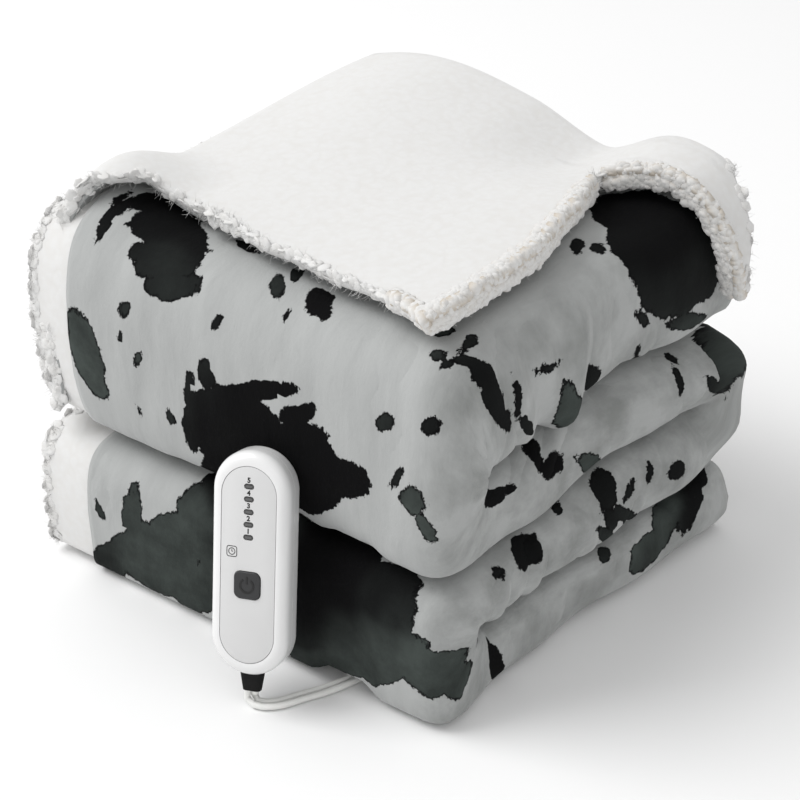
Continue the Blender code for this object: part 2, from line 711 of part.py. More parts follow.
def even_route(points):
    """Evenly spaced points on a smooth curve through the route points."""
    points = [Vector(point) for point in points]
    ends = [2 * points[0] - points[1]] + points + [2 * points[-1] - points[-2]]
    fine = []
    for a, b, c, d in zip(ends, ends[1:], ends[2:], ends[3:]):
        for i in range(24):
            t = i / 24
            fine.append(
                0.5 * (2 * b + (c - a) * t + (2 * a - 5 * b + 4 * c - d) * t**2 + (3 * b - a - 3 * c + d) * t**3)
            )
    fine.append(points[-1])
    length = sum((b - a).length for a, b in zip(fine, fine[1:]))
    count = round(length / LEAD_STEP)
    evenly, passed = [fine[0]], 0.0
    for a, b in zip(fine, fine[1:]):
        step = (b - a).length
        while len(evenly) < count and passed + step >= len(evenly) * length / count:
            evenly.append(a.lerp(b, (len(evenly) * length / count - passed) / step))
        passed += step
    return evenly + [fine[-1]]


def lead(name, route, material, collection, straight_start=False, straight_end=False):
    """A round lead along its route, whose first or last two points may lie straight in a relief."""
    curve = bpy.data.curves.new(name, "CURVE")
    curve.dimensions = "3D"
    curve.bevel_depth = LEAD / 2
    curve.bevel_resolution = 2
    curve.use_fill_caps = True
    points = even_route(route[1 if straight_start else 0 : len(route) - (1 if straight_end else 0)])
    if straight_start:
        points.insert(0, Vector(route[0]))
    if straight_end:
        points.append(Vector(route[-1]))
    spline = curve.splines.new("POLY")
    spline.points.add(len(points) - 1)
    for place, point in zip(points, spline.points):
        point.co = (*place, 1)
    curve.materials.append(material)
    piece = bpy.data.objects.new(name, curve)
    collection.objects.link(piece)
    return piece


def floor_route(rows, middle_x=0, middle_y=0):
    return [(middle_x + x, middle_y + y, LEAD_ON_FLOOR + z) for x, y, z in rows]


def leads(placed, material, collection):
    """The mains lead and the blanket lead: side by side under the pack, and apart behind it."""
    routes = []
    for side, rest in ((-1, MAINS_ROUTE), (1, BLANKET_ROUTE)):
        route = [
            placed @ Vector((side * LEAD_PITCH / 2, y, -PARTING_DEPTH - GAP / 2))
            for y in (RELIEF_TIP_Y + LEAD_INSIDE, RELIEF_TIP_Y - LEAD_STRAIGHT)
        ]
        for x, y, z, heading in PAIR_ROUTE:
            turn = math.radians(heading)
            reach = side * LEAD_PITCH / 2
            route.append(
                (x + reach * math.cos(turn), y + reach * math.sin(turn), LEAD_ON_FLOOR + z)
            )
        routes.append(route + floor_route(rest))
    boot_end = CONNECTOR_PLACE[0] + CONNECTOR_LENGTH / 2 + BOOT_LENGTH
    for reach in (LEAD_STRAIGHT, -LEAD_INSIDE):
        routes[1].append((boot_end + reach, CONNECTOR_PLACE[1], CONNECTOR_PLACE[2]))
    lead("mains_lead", routes[0], material, collection, straight_start=True)
    lead("blanket_lead", routes[1], material, collection, straight_start=True, straight_end=True)
    route = floor_route(END_ROUTE, *COIL_PLACE)
    x, y, z = route[-1]
    route.append((x - LEAD_STRAIGHT - LEAD_INSIDE, y, z))
    lead("mains_lead_end", route, material, collection, straight_end=True)


def boot_hole(name, collection, parent, tip_x):
    """Room for a lead in the end of a boot."""
    mesh = bmesh.new()
    bmesh.ops.create_cone(
        mesh,
        cap_ends=True,
        segments=BOOT_SIDES,
        radius1=LEAD / 2 + LEAD_ROOM,
        radius2=LEAD / 2 + LEAD_ROOM,
        depth=2 * (LEAD_INSIDE + GAP),
        matrix=Matrix.Rotation(math.radians(90), 4, "Y"),
    )
    return hide_cutter(add_object(name, mesh, None, collection, parent, (tip_x, 0, 0)))


def connector(finishes, collection, cutters):
    """The connector where the blanket lead goes into the throw's hem."""
    body = add_object(
        "blanket_connector",
        box(CONNECTOR_LENGTH, CONNECTOR_WIDTH, CONNECTOR_DEPTH, CONNECTOR_ROUND),
        finishes["white_plastic"],
        collection,
        place=CONNECTOR_PLACE,
    )
    boot = taper(BOOT_WIDTH, BOOT_TIP, BOOT_LENGTH + 0.002, CONNECTOR_LENGTH / 2 - 0.002)
    join(body, hide_cutter(add_object("connector_boot", boot, None, cutters, body)))
    cut(body, boot_hole("connector_hole", cutters, body, CONNECTOR_LENGTH / 2 + BOOT_LENGTH))


def coil(material, collection):
    """The coiled length as one ring, turned by a Screw."""
    mesh = bmesh.new()
    outline = rounded_outline(COIL_BAND, COIL_HEIGHT, COIL_ROUND, 2)
    verts = [
        mesh.verts.new((COIL_MIDDLE + x, 0, COIL_HEIGHT / 2 + LEAD_ON_FLOOR - LEAD / 2 + z)) for x, z in outline
    ]
    for a, b in zip(verts, verts[1:] + verts[:1]):
        mesh.edges.new((a, b))
    piece = add_object("mains_lead_coil", mesh, material, collection, place=(*COIL_PLACE, 0))
    screw = piece.modifiers.new("turn", "SCREW")
    screw.angle = math.radians(360)
    screw.steps = screw.render_steps = COIL_STEPS
    screw.axis = "Z"
    screw.use_merge_vertices = True
    screw.merge_threshold = 0.0001
    screw.use_normal_calculate = True


def plug(finishes, collection, cutters):
    """The mains plug on the lead's end, lying beside the coil."""
    x, y, z = floor_route(END_ROUTE, *COIL_PLACE)[-1]
    middle_x = x - LEAD_STRAIGHT - BOOT_LENGTH - PLUG_LENGTH / 2
    middle_z = PLUG_DEPTH / 2 + PLUG_GAP_BELOW
    body = add_object(
        "mains_plug",
        box(PLUG_LENGTH, PLUG_WIDTH, PLUG_DEPTH, PLUG_ROUND),
        finishes["white_plastic"],
        collection,
        place=(middle_x, y, middle_z),
    )
    boot = taper(BOOT_WIDTH, BOOT_TIP, BOOT_LENGTH + 0.002, PLUG_LENGTH / 2 - 0.002)
    join(body, hide_cutter(add_object("plug_boot", boot, None, cutters, body)))
    cut(body, boot_hole("plug_hole", cutters, body, PLUG_LENGTH / 2 + BOOT_LENGTH))
    for side in (-1, 1):
        name = "near" if side < 0 else "far"
        offset = side * BLADE_PITCH / 2
        blade = box(BLADE_LENGTH + BLADE_INSIDE, BLADE_THICK, BLADE_HEIGHT)
        blade_x = middle_x - PLUG_LENGTH / 2 + (BLADE_INSIDE - BLADE_LENGTH) / 2
        add_object(
            "plug_blade_" + name, blade, finishes["nickel"], collection, place=(blade_x, y + offset, middle_z)
        )
        slot = box(2 * (BLADE_INSIDE + GAP), BLADE_THICK + 2 * GAP, BLADE_HEIGHT + 2 * GAP)
        slot_at = (-PLUG_LENGTH / 2, offset, 0)
        cut(body, hide_cutter(add_object("blade_slot_" + name, slot, None, cutters, body, slot_at)))


def finish(name, color, roughness, metallic=0.0):
    material = bpy.data.materials.new(name)
    material.use_nodes = True
    shader = material.node_tree.nodes["Principled BSDF"]
    shader.inputs["Base Color"].default_value = (*color, 1)
    shader.inputs["Roughness"].default_value = roughness
    shader.inputs["Metallic"].default_value = metallic
    return material


def main():
    for thing in list(bpy.data.objects):
        bpy.data.objects.remove(thing)
    parts = bpy.data.collections.new("heated_throw")
    bpy.context.scene.collection.children.link(parts)
    cutters = bpy.data.collections.new("cutters")
    bpy.context.scene.collection.children.link(cutters)
    cutters.hide_render = True
    finishes = {
        "plush": finish("plush", (0.43, 0.44, 0.44), 0.85),
        "curly_pile": finish("curly_pile", (0.88, 0.87, 0.85), 0.95),
        "white_plastic": finish("white_plastic", (0.86, 0.86, 0.85), 0.35),
        "satin_panel": finish("satin_panel", (0.80, 0.80, 0.79), 0.45),
        "charcoal_button": finish("charcoal_button", (0.05, 0.05, 0.05), 0.5),
        "grey_light": finish("grey_light", (0.12, 0.12, 0.12), 0.4),
        "black_rubber": finish("black_rubber", (0.02, 0.02, 0.02), 0.6),
        "white_lead": finish("white_lead", (0.82, 0.82, 0.80), 0.4),
        "nickel": finish("nickel", (0.70, 0.69, 0.66), 0.3, 1.0),
    }
    cloth("plush_face", 1, PLUSH, (0, 0, 0, 0), finishes["plush"], parts)
    cloth("pile_back", -1, PILE, PILE_OVERHANG, finishes["curly_pile"], parts)
    placed = handset(finishes, parts, cutters)
    leads(placed, finishes["white_lead"], parts)
    connector(finishes, parts, cutters)
    coil(finishes["white_lead"], parts)
    plug(finishes, parts, cutters)
    middle = bpy.data.objects.new("middle", None)
    parts.objects.link(middle)
    middle.location = (-MIDDLE_X, -MIDDLE_Y, 0)
    for thing in list(parts.objects):
        if thing != middle and thing.parent is None:
            thing.parent = middle


main()
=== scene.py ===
"""Electric heated throw, folded into a pack, with its handset leaning on the front and its leads behind."""

import math
import random

import bmesh
import bpy
import numpy
from mathutils import Matrix, Vector, noise
from mathutils.bvhtree import BVHTree


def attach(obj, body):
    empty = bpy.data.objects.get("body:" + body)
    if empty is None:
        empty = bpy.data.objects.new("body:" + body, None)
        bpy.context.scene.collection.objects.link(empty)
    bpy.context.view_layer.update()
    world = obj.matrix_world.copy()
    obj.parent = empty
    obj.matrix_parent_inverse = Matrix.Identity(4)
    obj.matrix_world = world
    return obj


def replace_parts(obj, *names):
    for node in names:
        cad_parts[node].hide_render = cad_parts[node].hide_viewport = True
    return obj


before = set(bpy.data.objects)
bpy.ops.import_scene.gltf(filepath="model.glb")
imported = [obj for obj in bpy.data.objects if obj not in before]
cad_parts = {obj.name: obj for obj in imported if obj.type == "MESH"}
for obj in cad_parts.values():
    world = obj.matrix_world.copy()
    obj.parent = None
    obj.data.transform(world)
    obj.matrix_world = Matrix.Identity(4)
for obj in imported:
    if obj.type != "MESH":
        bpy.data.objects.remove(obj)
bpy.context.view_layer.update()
scene = bpy.context.scene

# Studio. A long lens looks down at the front right corner of the pack, on a seamless pale floor,
# in the even light of a large softbox on the left with a weak fill.
AIM = Vector((-0.0282, 0.0559, 0.0760))
AWAY = 1.257
ROUND, ABOVE = math.radians(38), math.radians(28)
camera = bpy.data.objects.new("camera", bpy.data.cameras.new("camera"))
camera.data.lens = 85
camera.data.sensor_width = 36
back = Vector((math.sin(ROUND) * math.cos(ABOVE), -math.cos(ROUND) * math.cos(ABOVE), math.sin(ABOVE)))
camera.location = AIM + AWAY * back
camera.rotation_euler = back.to_track_quat("Z", "Y").to_euler()
scene.collection.objects.link(camera)
scene.camera = camera


def shader_of(name, roughness, color=(0.8, 0.8, 0.8)):
    """A new material, its node tree and its Principled shader."""
    material = bpy.data.materials.new(name)
    material.use_nodes = True
    shader = material.node_tree.nodes["Principled BSDF"]
    shader.inputs["Roughness"].default_value = roughness
    shader.inputs["Base Color"].default_value = (*color, 1)
    return material, material.node_tree, shader


def node(tree, kind, inputs=None, **settings):
    """A new node with its settings and inputs, which may be values or the sockets of other nodes."""
    made = tree.nodes.new("ShaderNode" + kind)
    for key, value in settings.items():
        setattr(made, key, value)
    for key, value in (inputs or {}).items():
        if isinstance(value, bpy.types.NodeSocket):
            tree.links.new(value, made.inputs[key])
        else:
            made.inputs[key].default_value = value
    return made


def object_noise(tree, scale, detail=2.0):
    """The value of a noise in the object's own space."""
    place = node(tree, "TexCoord").outputs["Object"]
    return node(tree, "TexNoise", {"Vector": place, "Scale": scale, "Detail": detail}).outputs[0]


def two_tone(tree, factor, low, high, ends=(0.0, 1.0)):
    """A colour that goes from the first tone to the second as the factor goes from end to end."""
    ramp = node(tree, "ValToRGB", {"Fac": factor})
    for stop, end, tone in zip(ramp.color_ramp.elements, ends, (low, high)):
        stop.position, stop.color = end, (*tone, 1)
    return ramp.outputs[0]


def dress(tree, shader, tone=None, rough=None, relief=None):
    """Gives the shader a colour's output, its roughness as (factor, least, most) and its relief as (height,
    strength, distance), or some of these."""
    if tone is not None:
        tree.links.new(tone, shader.inputs["Base Color"])
    if rough is not None:
        factor, least, most = rough
        varied = node(tree, "MapRange", {"Value": factor, "To Min": least, "To Max": most})
        tree.links.new(varied.outputs[0], shader.inputs["Roughness"])
    if relief is not None:
        height, strength, distance = relief
        skin = node(tree, "Bump", {"Height": height, "Strength": strength, "Distance": distance})
        tree.links.new(skin.outputs[0], shader.inputs["Normal"])


def finished(name, mesh, materials, smooth=True):
    """A piece from a bmesh, at the origin, with its materials and smooth or flat faces."""
    data = bpy.data.meshes.new(name)
    mesh.to_mesh(data)
    mesh.free()
    for material in materials:
        data.materials.append(material)
    if smooth:
        data.shade_smooth()
    piece = bpy.data.objects.new(name, data)
    scene.collection.objects.link(piece)
    return piece


floor_finish, tree, shader = shader_of("floor_paper", 0.75, (0.88, 0.88, 0.88))
dress(tree, shader, relief=(object_noise(tree, 40.0, 4.0), 0.02, 0.001))
mesh = bmesh.new()
bmesh.ops.create_grid(mesh, x_segments=4, y_segments=4, size=6.0, matrix=Matrix.Translation((0, 0, -0.0002)))
finished("floor", mesh, [floor_finish], smooth=False)

world = bpy.data.worlds.new("studio")
world.use_nodes = True
world.node_tree.nodes["Background"].inputs["Color"].default_value = (1.0, 1.0, 1.0, 1)
world.node_tree.nodes["Background"].inputs["Strength"].default_value = 0.70
scene.world = world
scene.view_settings.view_transform = "Standard"
for name, place, size, power in (("softbox", (-2.5, -1.8, 3.8), 3.0, 165), ("fill", (1.7, -1.4, 1.2), 1.4, 4)):
    light = bpy.data.objects.new(name, bpy.data.lights.new(name, "AREA"))
    light.data.size, light.data.energy = size, power
    light.location = place
    light.rotation_euler = (Vector(place) - Vector((0, 0, 0.1))).to_track_quat("Z", "Y").to_euler()
    scene.collection.objects.link(light)

# Leads. Round white flexible leads, 4 mm thick. Two leave the relief at the handset's foot side by side and
# run under the pack in its groove. Behind it the mains lead is wound into a coil and ends in its plug, and
# the blanket lead goes to the connector at the throw's hem.
SHIFT = Vector((0.00379, 0.03187, 0))
GAP = 0.00035
LEAD, LEAD_STEP = 0.0040, 0.006
LEAD_PITCH = 0.0048
LEAD_Z = LEAD / 2 + 0.0003
FACE_MIDDLE = Vector((0.0364, -0.2020, 0.0878)) + SHIFT
FACE_TURN = (
    Matrix.Rotation(math.radians(17.8), 3, "Z")
    @ Matrix.Rotation(math.radians(90 - 15.5), 3, "X")
    @ Matrix.Rotation(math.radians(3.5), 3, "Z")
)
ON_FACE = Matrix.Translation(FACE_MIDDLE) @ FACE_TURN.to_4x4()
PARTING = 0.0100 + GAP / 2
RELIEF_TIP = -0.0765
PAIR_ROUTE = (
    # x, y, z above the floor's run, direction from the mains lead to the blanket lead in degrees
    (0.0400, -0.2090, 0.0036, 60),
    (0.0450, -0.2100, 0.0002, 105),
    (0.0515, -0.2075, 0.0, 132),
    (0.0575, -0.2005, 0.0, 153),
    (0.0620, -0.1905, 0.0, 160),
    (0.0680, -0.1785, 0.0, 160),
    (0.0730, -0.1650, 0.0, 165),
    (0.0768, -0.1450, 0.0, 176),
    (0.0785, -0.0900, 0.0, 178),
    (0.0820, 0.0000, 0.0, 178),
    (0.0855, 0.0900, 0.0, 178),
    (0.0870, 0.1350, 0.0, 179),
)
BLANKET_ROUTE = (
    # x, y, z above the floor's run
    (0.0805, 0.1530, 0.0),
    (0.0640, 0.1660, 0.0),
    (0.0350, 0.1680, 0.0),
    (-0.0050, 0.1660, 0.0),
    (-0.0300, 0.1590, 0.0015),
    (-0.0500, 0.1490, 0.0035),
    (-0.0550, 0.1465, 0.0045),
    (-0.0590, 0.1465, 0.0045),
)
MAINS_X, COIL_Y = 0.0895, 0.2120
COIL_RADIUS, COIL_OUTSIDE = 0.025, 0.03445
WIRE_PITCH, LAYER_PITCH = 0.0046, 0.0044
WINDING = ((1, 0), (0, 0), (-1, 0), (-1, 1), (0, 1), (1, 1), (1, 2), (0, 2))  # column and layer of each turn
PLUG_ROUTE = (
    # x from the coil's middle, y outside its tangent, z above the floor's run
    (-0.0150, 0.0004, 0.0008),
    (-0.0300, 0.0014, 0.0035),
    (-0.0440, 0.0018, 0.0055),
    (-0.0480, 0.0018, 0.0055),
)


def smooth(t):
    t = min(max(t, 0.0), 1.0)
    return t * t * (3 - 2 * t)


def mix(a, b, t):
    return a + (b - a) * t


def even_route(points, step):
    """Evenly spaced points on a smooth curve through the route points."""
    ends = [2 * points[0] - points[1]] + points + [2 * points[-1] - points[-2]]
    fine = []
    for a, b, c, d in zip(ends, ends[1:], ends[2:], ends[3:]):
        for t in (i / 12 for i in range(12)):
            fine.append(
                0.5 * (2 * b + (c - a) * t + (2 * a - 5 * b + 4 * c - d) * t**2 + (3 * b - a - 3 * c + d) * t**3)
            )
    fine.append(points[-1])
    length = sum((b - a).length for a, b in zip(fine, fine[1:]))
    count = round(length / step)
    evenly, passed = [fine[0]], 0.0
    for a, b in zip(fine, fine[1:]):
        run = (b - a).length
        while len(evenly) < count and passed + run >= len(evenly) * length / count:
            evenly.append(a.lerp(b, (len(evenly) * length / count - passed) / run))
        passed += run
    return evenly + [fine[-1]]


def pair_route(side):
    """The shared part of the two leads' route: from the relief down to the floor and back under the pack."""
    route = [ON_FACE @ Vector((side * LEAD_PITCH / 2, RELIEF_TIP + out, -PARTING)) for out in (0.003, -0.001)]
    for x, y, z, heading in PAIR_ROUTE:
        turn, reach = math.radians(heading), side * LEAD_PITCH / 2
        route.append(Vector((x + reach * math.cos(turn), y + reach * math.sin(turn), LEAD_Z + z)) + SHIFT)
    return route


def coil_route(middle):
    """The turns of the coil, in from its outside on the floor and out again over the top, and a quarter turn."""
    cells = [(COIL_OUTSIDE, LEAD_Z)]
    cells += [(COIL_RADIUS + c * WIRE_PITCH, LEAD_Z + layer * LAYER_PITCH) for c, layer in WINDING]
    cells.append((COIL_OUTSIDE, LEAD_Z))
    route, per_turn = [], 24
    for i in range(per_turn * len(WINDING) + per_turn // 4 + 1):
        turn = i / per_turn
        whole = int(turn)
        here, after = cells[whole], cells[whole + 1]
        ease = smooth((turn - whole) / 0.25)
        radius, height = mix(here[0], after[0], ease), mix(here[1], after[1], ease)
        angle = 2 * math.pi * turn
        route.append(middle + Vector((radius * math.cos(angle), radius * math.sin(angle), height)))
    return route


lead_white, tree, shader = shader_of("lead_white", 0.38, (0.80, 0.80, 0.78))
scuff = object_noise(tree, 180.0, 3.0)
tone = two_tone(tree, scuff, (0.74, 0.74, 0.72), (0.84, 0.84, 0.82))
dress(tree, shader, tone, relief=(scuff, 0.08, 0.0004))


def lead(name, points):
    curve = bpy.data.curves.new(name, "CURVE")
    curve.dimensions = "3D"
    curve.bevel_depth = LEAD / 2
    curve.bevel_resolution = 3
    curve.use_fill_caps = True
    spline = curve.splines.new("POLY")
    spline.points.add(len(points) - 1)
    for point, place in zip(spline.points, points):
        point.co = (*place, 1)
    curve.materials.append(lead_white)
    piece = bpy.data.objects.new(name, curve)
    scene.collection.objects.link(piece)
    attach(piece, "throw")
    return piece


coil_middle = Vector((MAINS_X - COIL_OUTSIDE, COIL_Y, 0)) + SHIFT
mains = pair_route(-1)
mains += [Vector((MAINS_X, y, LEAD_Z)) + SHIFT for y in (0.160, 0.186)]
mains += coil_route(coil_middle)
mains += [coil_middle + Vector((x, COIL_OUTSIDE + y, LEAD_Z + z)) for x, y, z in PLUG_ROUTE]
mains_points = even_route(mains, LEAD_STEP)
mains_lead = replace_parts(lead("mains_lead_whole", mains_points), "mains_lead", "mains_lead_coil", "mains_lead_end")
blanket = pair_route(1) + [Vector((x, y, LEAD_Z + z)) + SHIFT for x, y, z in BLANKET_ROUTE]
blanket_points = even_route(blanket, LEAD_STEP)
blanket_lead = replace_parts(lead("blanket_lead_whole", blanket_points), "blanket_lead")

# Plug and hem connector. Satin white mouldings with a ribbed boot where the lead goes in, and on the plug
# two nickel-plated blades. They lie on the surface behind the pack.
moulded_white, tree, shader = shader_of("moulded_white", 0.32, (0.84, 0.84, 0.83))
shader.inputs["Coat Weight"].default_value = 0.15
tone = two_tone(tree, object_noise(tree, 60.0, 3.0), (0.81, 0.81, 0.80), (0.86, 0.86, 0.855))
dress(tree, shader, tone, relief=(object_noise(tree, 2600.0), 0.05, 0.0001))
BOOT_RIBS, BOOT_GROOVE, BOOT_OVERLAP = 5, 0.0007, 0.0004
MOULDED_BOOT = (0.0197, 0.0100, 0.0068)  # length, and thickness at its root and tip


def moulding(name, size, rounding, place, node_name):
    """A rounded box with a tapered and ribbed boot on its +X end."""
    length, width, depth = size
    mesh = bmesh.new()
    bmesh.ops.create_cube(mesh, size=1, matrix=Matrix.Diagonal((length, width, depth, 1)))
    bmesh.ops.bevel(
        mesh, geom=mesh.edges[:], offset=rounding, segments=5, profile=0.5, affect="EDGES", material=-1
    )
    boot_length, thick, thin = MOULDED_BOOT
    for i in range(2 * BOOT_RIBS):
        share, after = i / (2 * BOOT_RIBS), (i + 1) / (2 * BOOT_RIBS)
        inset, overlap = (BOOT_GROOVE, BOOT_OVERLAP) if i % 2 else (0.0, 0.0)
        bmesh.ops.create_cone(
            mesh,
            cap_ends=True,
            segments=28,
            radius1=mix(thick, thin, share) / 2 - inset,
            radius2=mix(thick, thin, after) / 2 - inset,
            depth=boot_length / (2 * BOOT_RIBS) + overlap,
            matrix=Matrix.Translation((length / 2 + boot_length * (share + after) / 2, 0, 0))
            @ Matrix.Rotation(math.radians(90), 4, "Y"),
        )
    bmesh.ops.translate(mesh, verts=mesh.verts, vec=place)
    piece = finished(name, mesh, [moulded_white])
    piece.data.set_sharp_from_angle(angle=math.radians(50))
    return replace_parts(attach(piece, "throw"), node_name)


connector_at = Vector((-0.0960, 0.1465, 0.0068)) + SHIFT
moulding("hem_connector", (0.040, 0.018, 0.013), 0.0026, connector_at, "blanket_connector")
plug_end = mains_points[-1]
plug_at = Vector((plug_end.x + 0.003 - 0.020 - 0.014, plug_end.y, 0.0078))
plug_body = moulding("plug_body", (0.028, 0.024, 0.015), 0.0034, plug_at, "mains_plug")
blade_metal, tree, shader = shader_of("plated_blade", 0.25, (0.72, 0.71, 0.68))
shader.inputs["Metallic"].default_value = 1.0
dress(tree, shader, rough=(object_noise(tree, 900.0), 0.18, 0.36))
for name in ("plug_blade_near", "plug_blade_far"):
    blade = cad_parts[name]
    blade.data.materials.clear()
    blade.data.materials.append(blade_metal)

# Handset. Two glossy white half shells that meet at a parting seam, with a satin panel let into the front.
# The panel has a square charcoal power button and five heat lights, each under its printed number.
WHITE_SIZE = (0.047, 0.1314)
PANEL_SIZE = (0.033, 0.1146)
PANEL_DEPTH = 0.0013
BUTTON_Y, BUTTON_SIDE, BUTTON_CORNER = -0.0113, 0.0158, 0.0038
BUTTON_PROUD, BUTTON_DEPTH, BUTTON_ROOM = 0.0009, 0.0036, 0.0062
LIGHT_FIRST_Y, LIGHT_PITCH, LIGHTS = 0.0166, 0.00735, 5
LIGHT_SIZE = (0.0054, 0.0026)
PRINT_LIFT = 0.00005


def pill(size, low, high, segments=64, at=(0, 0)):
    """A flat piece with round ends between two heights, from a circle that is parted in the middle."""
    width, length = size
    narrow = min(size)
    mesh = bmesh.new()
    half_step = Matrix.Rotation(math.pi / segments, 4, "Z")
    bmesh.ops.create_circle(mesh, cap_ends=True, segments=segments, radius=narrow / 2, matrix=half_step)
    along = Vector((0, 1)) if length > width else Vector((1, 0))
    for vert in mesh.verts:
        vert.co.xy += along * math.copysign(abs(length - width) / 2, vert.co.xy.dot(along))
    return raised(mesh, low, high, at)


def raised(mesh, low, high, at=(0, 0)):
    """The flat faces of a bmesh made a solid between two heights."""
    bmesh.ops.translate(mesh, verts=mesh.verts, vec=(*at, low))
    made = bmesh.ops.extrude_face_region(mesh, geom=mesh.faces[:])["geom"]
    bmesh.ops.translate(
        mesh, verts=[item for item in made if isinstance(item, bmesh.types.BMVert)], vec=(0, 0, high - low)
    )
    bmesh.ops.recalc_face_normals(mesh, faces=mesh.faces)
    return mesh


def square(side, corner, low, high, at=(0, 0)):
    """A flat square with rounded corners between two heights."""
    mesh = bmesh.new()
    bmesh.ops.create_grid(mesh, x_segments=1, y_segments=1, size=side / 2)
    bmesh.ops.bevel(
        mesh, geom=mesh.verts[:], offset=corner, segments=10, profile=0.5, affect="VERTICES", material=-1
    )
    return raised(mesh, low, high, at)


def round_edge(mesh, z, offset, segments=6):
    edges = [edge for edge in mesh.edges if all(abs(v.co.z - z) < 1e-6 for v in edge.verts)]
    bmesh.ops.bevel(
        mesh, geom=edges, offset=offset, segments=segments, profile=0.5, affect="EDGES", material=-1
    )
    return mesh


def on_handset(name, mesh, materials, body="throw", cutters=()):
    """A piece of the handset, made about the middle of its face, cut where it has openings, and put in place."""
    piece = finished(name, mesh, materials)
    for i, cutter_mesh in enumerate(cutters):
        cutter = finished(f"{name}_cutter_{i}", cutter_mesh, [])
        cut = piece.modifiers.new("opening", "BOOLEAN")
        cut.operation, cut.solver, cut.object = "DIFFERENCE", "EXACT", cutter
        with bpy.context.temp_override(object=piece, active_object=piece):
            bpy.ops.object.modifier_apply(modifier=cut.name)
        bpy.data.objects.remove(cutter)
    piece.data.transform(ON_FACE)
    piece.data.shade_smooth()
    piece.data.set_sharp_from_angle(angle=math.radians(35))
    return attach(piece, body)


def wells(depth_light, depth_button, room=GAP):
    """Cutters for the button and the five lights."""
    side = BUTTON_SIDE + 2 * room
    made = [square(side, BUTTON_CORNER + room, -depth_button, 0.001, (0, BUTTON_Y))]
    for i in range(LIGHTS):
        size = (LIGHT_SIZE[0] + 2 * room, LIGHT_SIZE[1] + 2 * room)
        made.append(pill(size, -depth_light, 0.001, 24, (0, LIGHT_FIRST_Y + i * LIGHT_PITCH)))
    return made


gloss_white, tree, shader = shader_of("gloss_white", 0.24, (0.75, 0.75, 0.75))
shader.inputs["Coat Weight"].default_value = 0.3
shader.inputs["Coat Roughness"].default_value = 0.12
tone = two_tone(tree, object_noise(tree, 35.0), (0.74, 0.74, 0.74), (0.78, 0.78, 0.78))
dress(tree, shader, tone, relief=(object_noise(tree, 900.0), 0.03, 0.0001))

satin_grey, tree, shader = shader_of("satin_panel", 0.42, (0.70, 0.70, 0.70))
tone = two_tone(tree, object_noise(tree, 50.0), (0.61, 0.61, 0.61), (0.64, 0.64, 0.64))
dress(tree, shader, tone, relief=(object_noise(tree, 3500.0), 0.06, 0.0001))

relief_room = bmesh.new()
bmesh.ops.create_cube(
    relief_room,
    size=1,
    matrix=Matrix.Translation((0, -0.0680, -PARTING)) @ Matrix.Diagonal((0.0147, 0.0220, 0.0097, 1)),
)
front_shell = on_handset(
    "white_front_shell",
    round_edge(pill(WHITE_SIZE, -0.0100, 0, 96), 0, 0.0064, 10),
    [gloss_white],
    cutters=[
        pill((PANEL_SIZE[0] + 2 * GAP, PANEL_SIZE[1] + 2 * GAP), -PANEL_DEPTH - GAP, 0.001, 96),
        *wells(0.00245, BUTTON_ROOM),
        relief_room.copy(),
    ],
)
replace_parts(front_shell, "handset_front_shell")
back_shell = on_handset(
    "white_back_shell",
    round_edge(pill(WHITE_SIZE, -0.0205, -0.0100 - GAP, 96), -0.0205, 0.005, 8),
    [gloss_white],
    cutters=[relief_room],
)
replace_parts(back_shell, "handset_back_shell")
panel = on_handset(
    "inset_panel",
    round_edge(pill(PANEL_SIZE, -PANEL_DEPTH, 0, 96), 0, 0.0002, 2),
    [satin_grey],
    cutters=wells(PANEL_DEPTH + 0.001, PANEL_DEPTH + 0.001),
)
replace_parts(panel, "handset_panel")

# Power button. A charcoal rubber-touch square with a rounded rim, which presses in, with a glossy black
# power sign moulded on it: a ring that is open at the top, and a bar in the opening.
charcoal, tree, shader = shader_of("charcoal_button", 0.5, (0.022, 0.0225, 0.024))
grain = object_noise(tree, 2500.0, 3.0)
dress(tree, shader, rough=(grain, 0.42, 0.6), relief=(grain, 0.1, 0.0001))
button_mesh = square(BUTTON_SIDE, BUTTON_CORNER, -BUTTON_DEPTH, BUTTON_PROUD, (0, BUTTON_Y))
button = on_handset("charcoal_power_button", round_edge(button_mesh, BUTTON_PROUD, 0.0007, 4), [charcoal], "button")
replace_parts(button, "power_button")

sign_black, tree, shader = shader_of("sign_black", 0.3, (0.004, 0.004, 0.004))
dress(tree, shader, rough=(object_noise(tree, 1500.0), 0.25, 0.4))
SIGN_RADIUS, SIGN_STROKE, SIGN_OPEN = 0.0040, 0.0012, 34


def arc_band(radius, stroke, start, end, steps, low, high, at):
    """A flat ring, or a part of one, spun from one radial edge."""
    mesh = bmesh.new()
    ends = [mesh.verts.new((radius + side * stroke / 2, 0, 0)) for side in (-1, 1)]
    edge = mesh.edges.new(ends)
    bmesh.ops.rotate(mesh, verts=ends, cent=(0, 0, 0), matrix=Matrix.Rotation(math.radians(start), 3, "Z"))
    whole = abs(end - start) >= 359.9
    bmesh.ops.spin(
        mesh, geom=[edge, *ends], cent=(0, 0, 0), axis=(0, 0, 1), angle=math.radians(end - start), steps=steps,
        use_merge=whole,
    )
    return raised(mesh, low, high, at)


def bar(width, length, low, high, at):
    mesh = bmesh.new()
    bmesh.ops.create_grid(mesh, x_segments=1, y_segments=1, size=0.5, matrix=Matrix.Diagonal((width, length, 1, 1)))
    return raised(mesh, low, high, at)


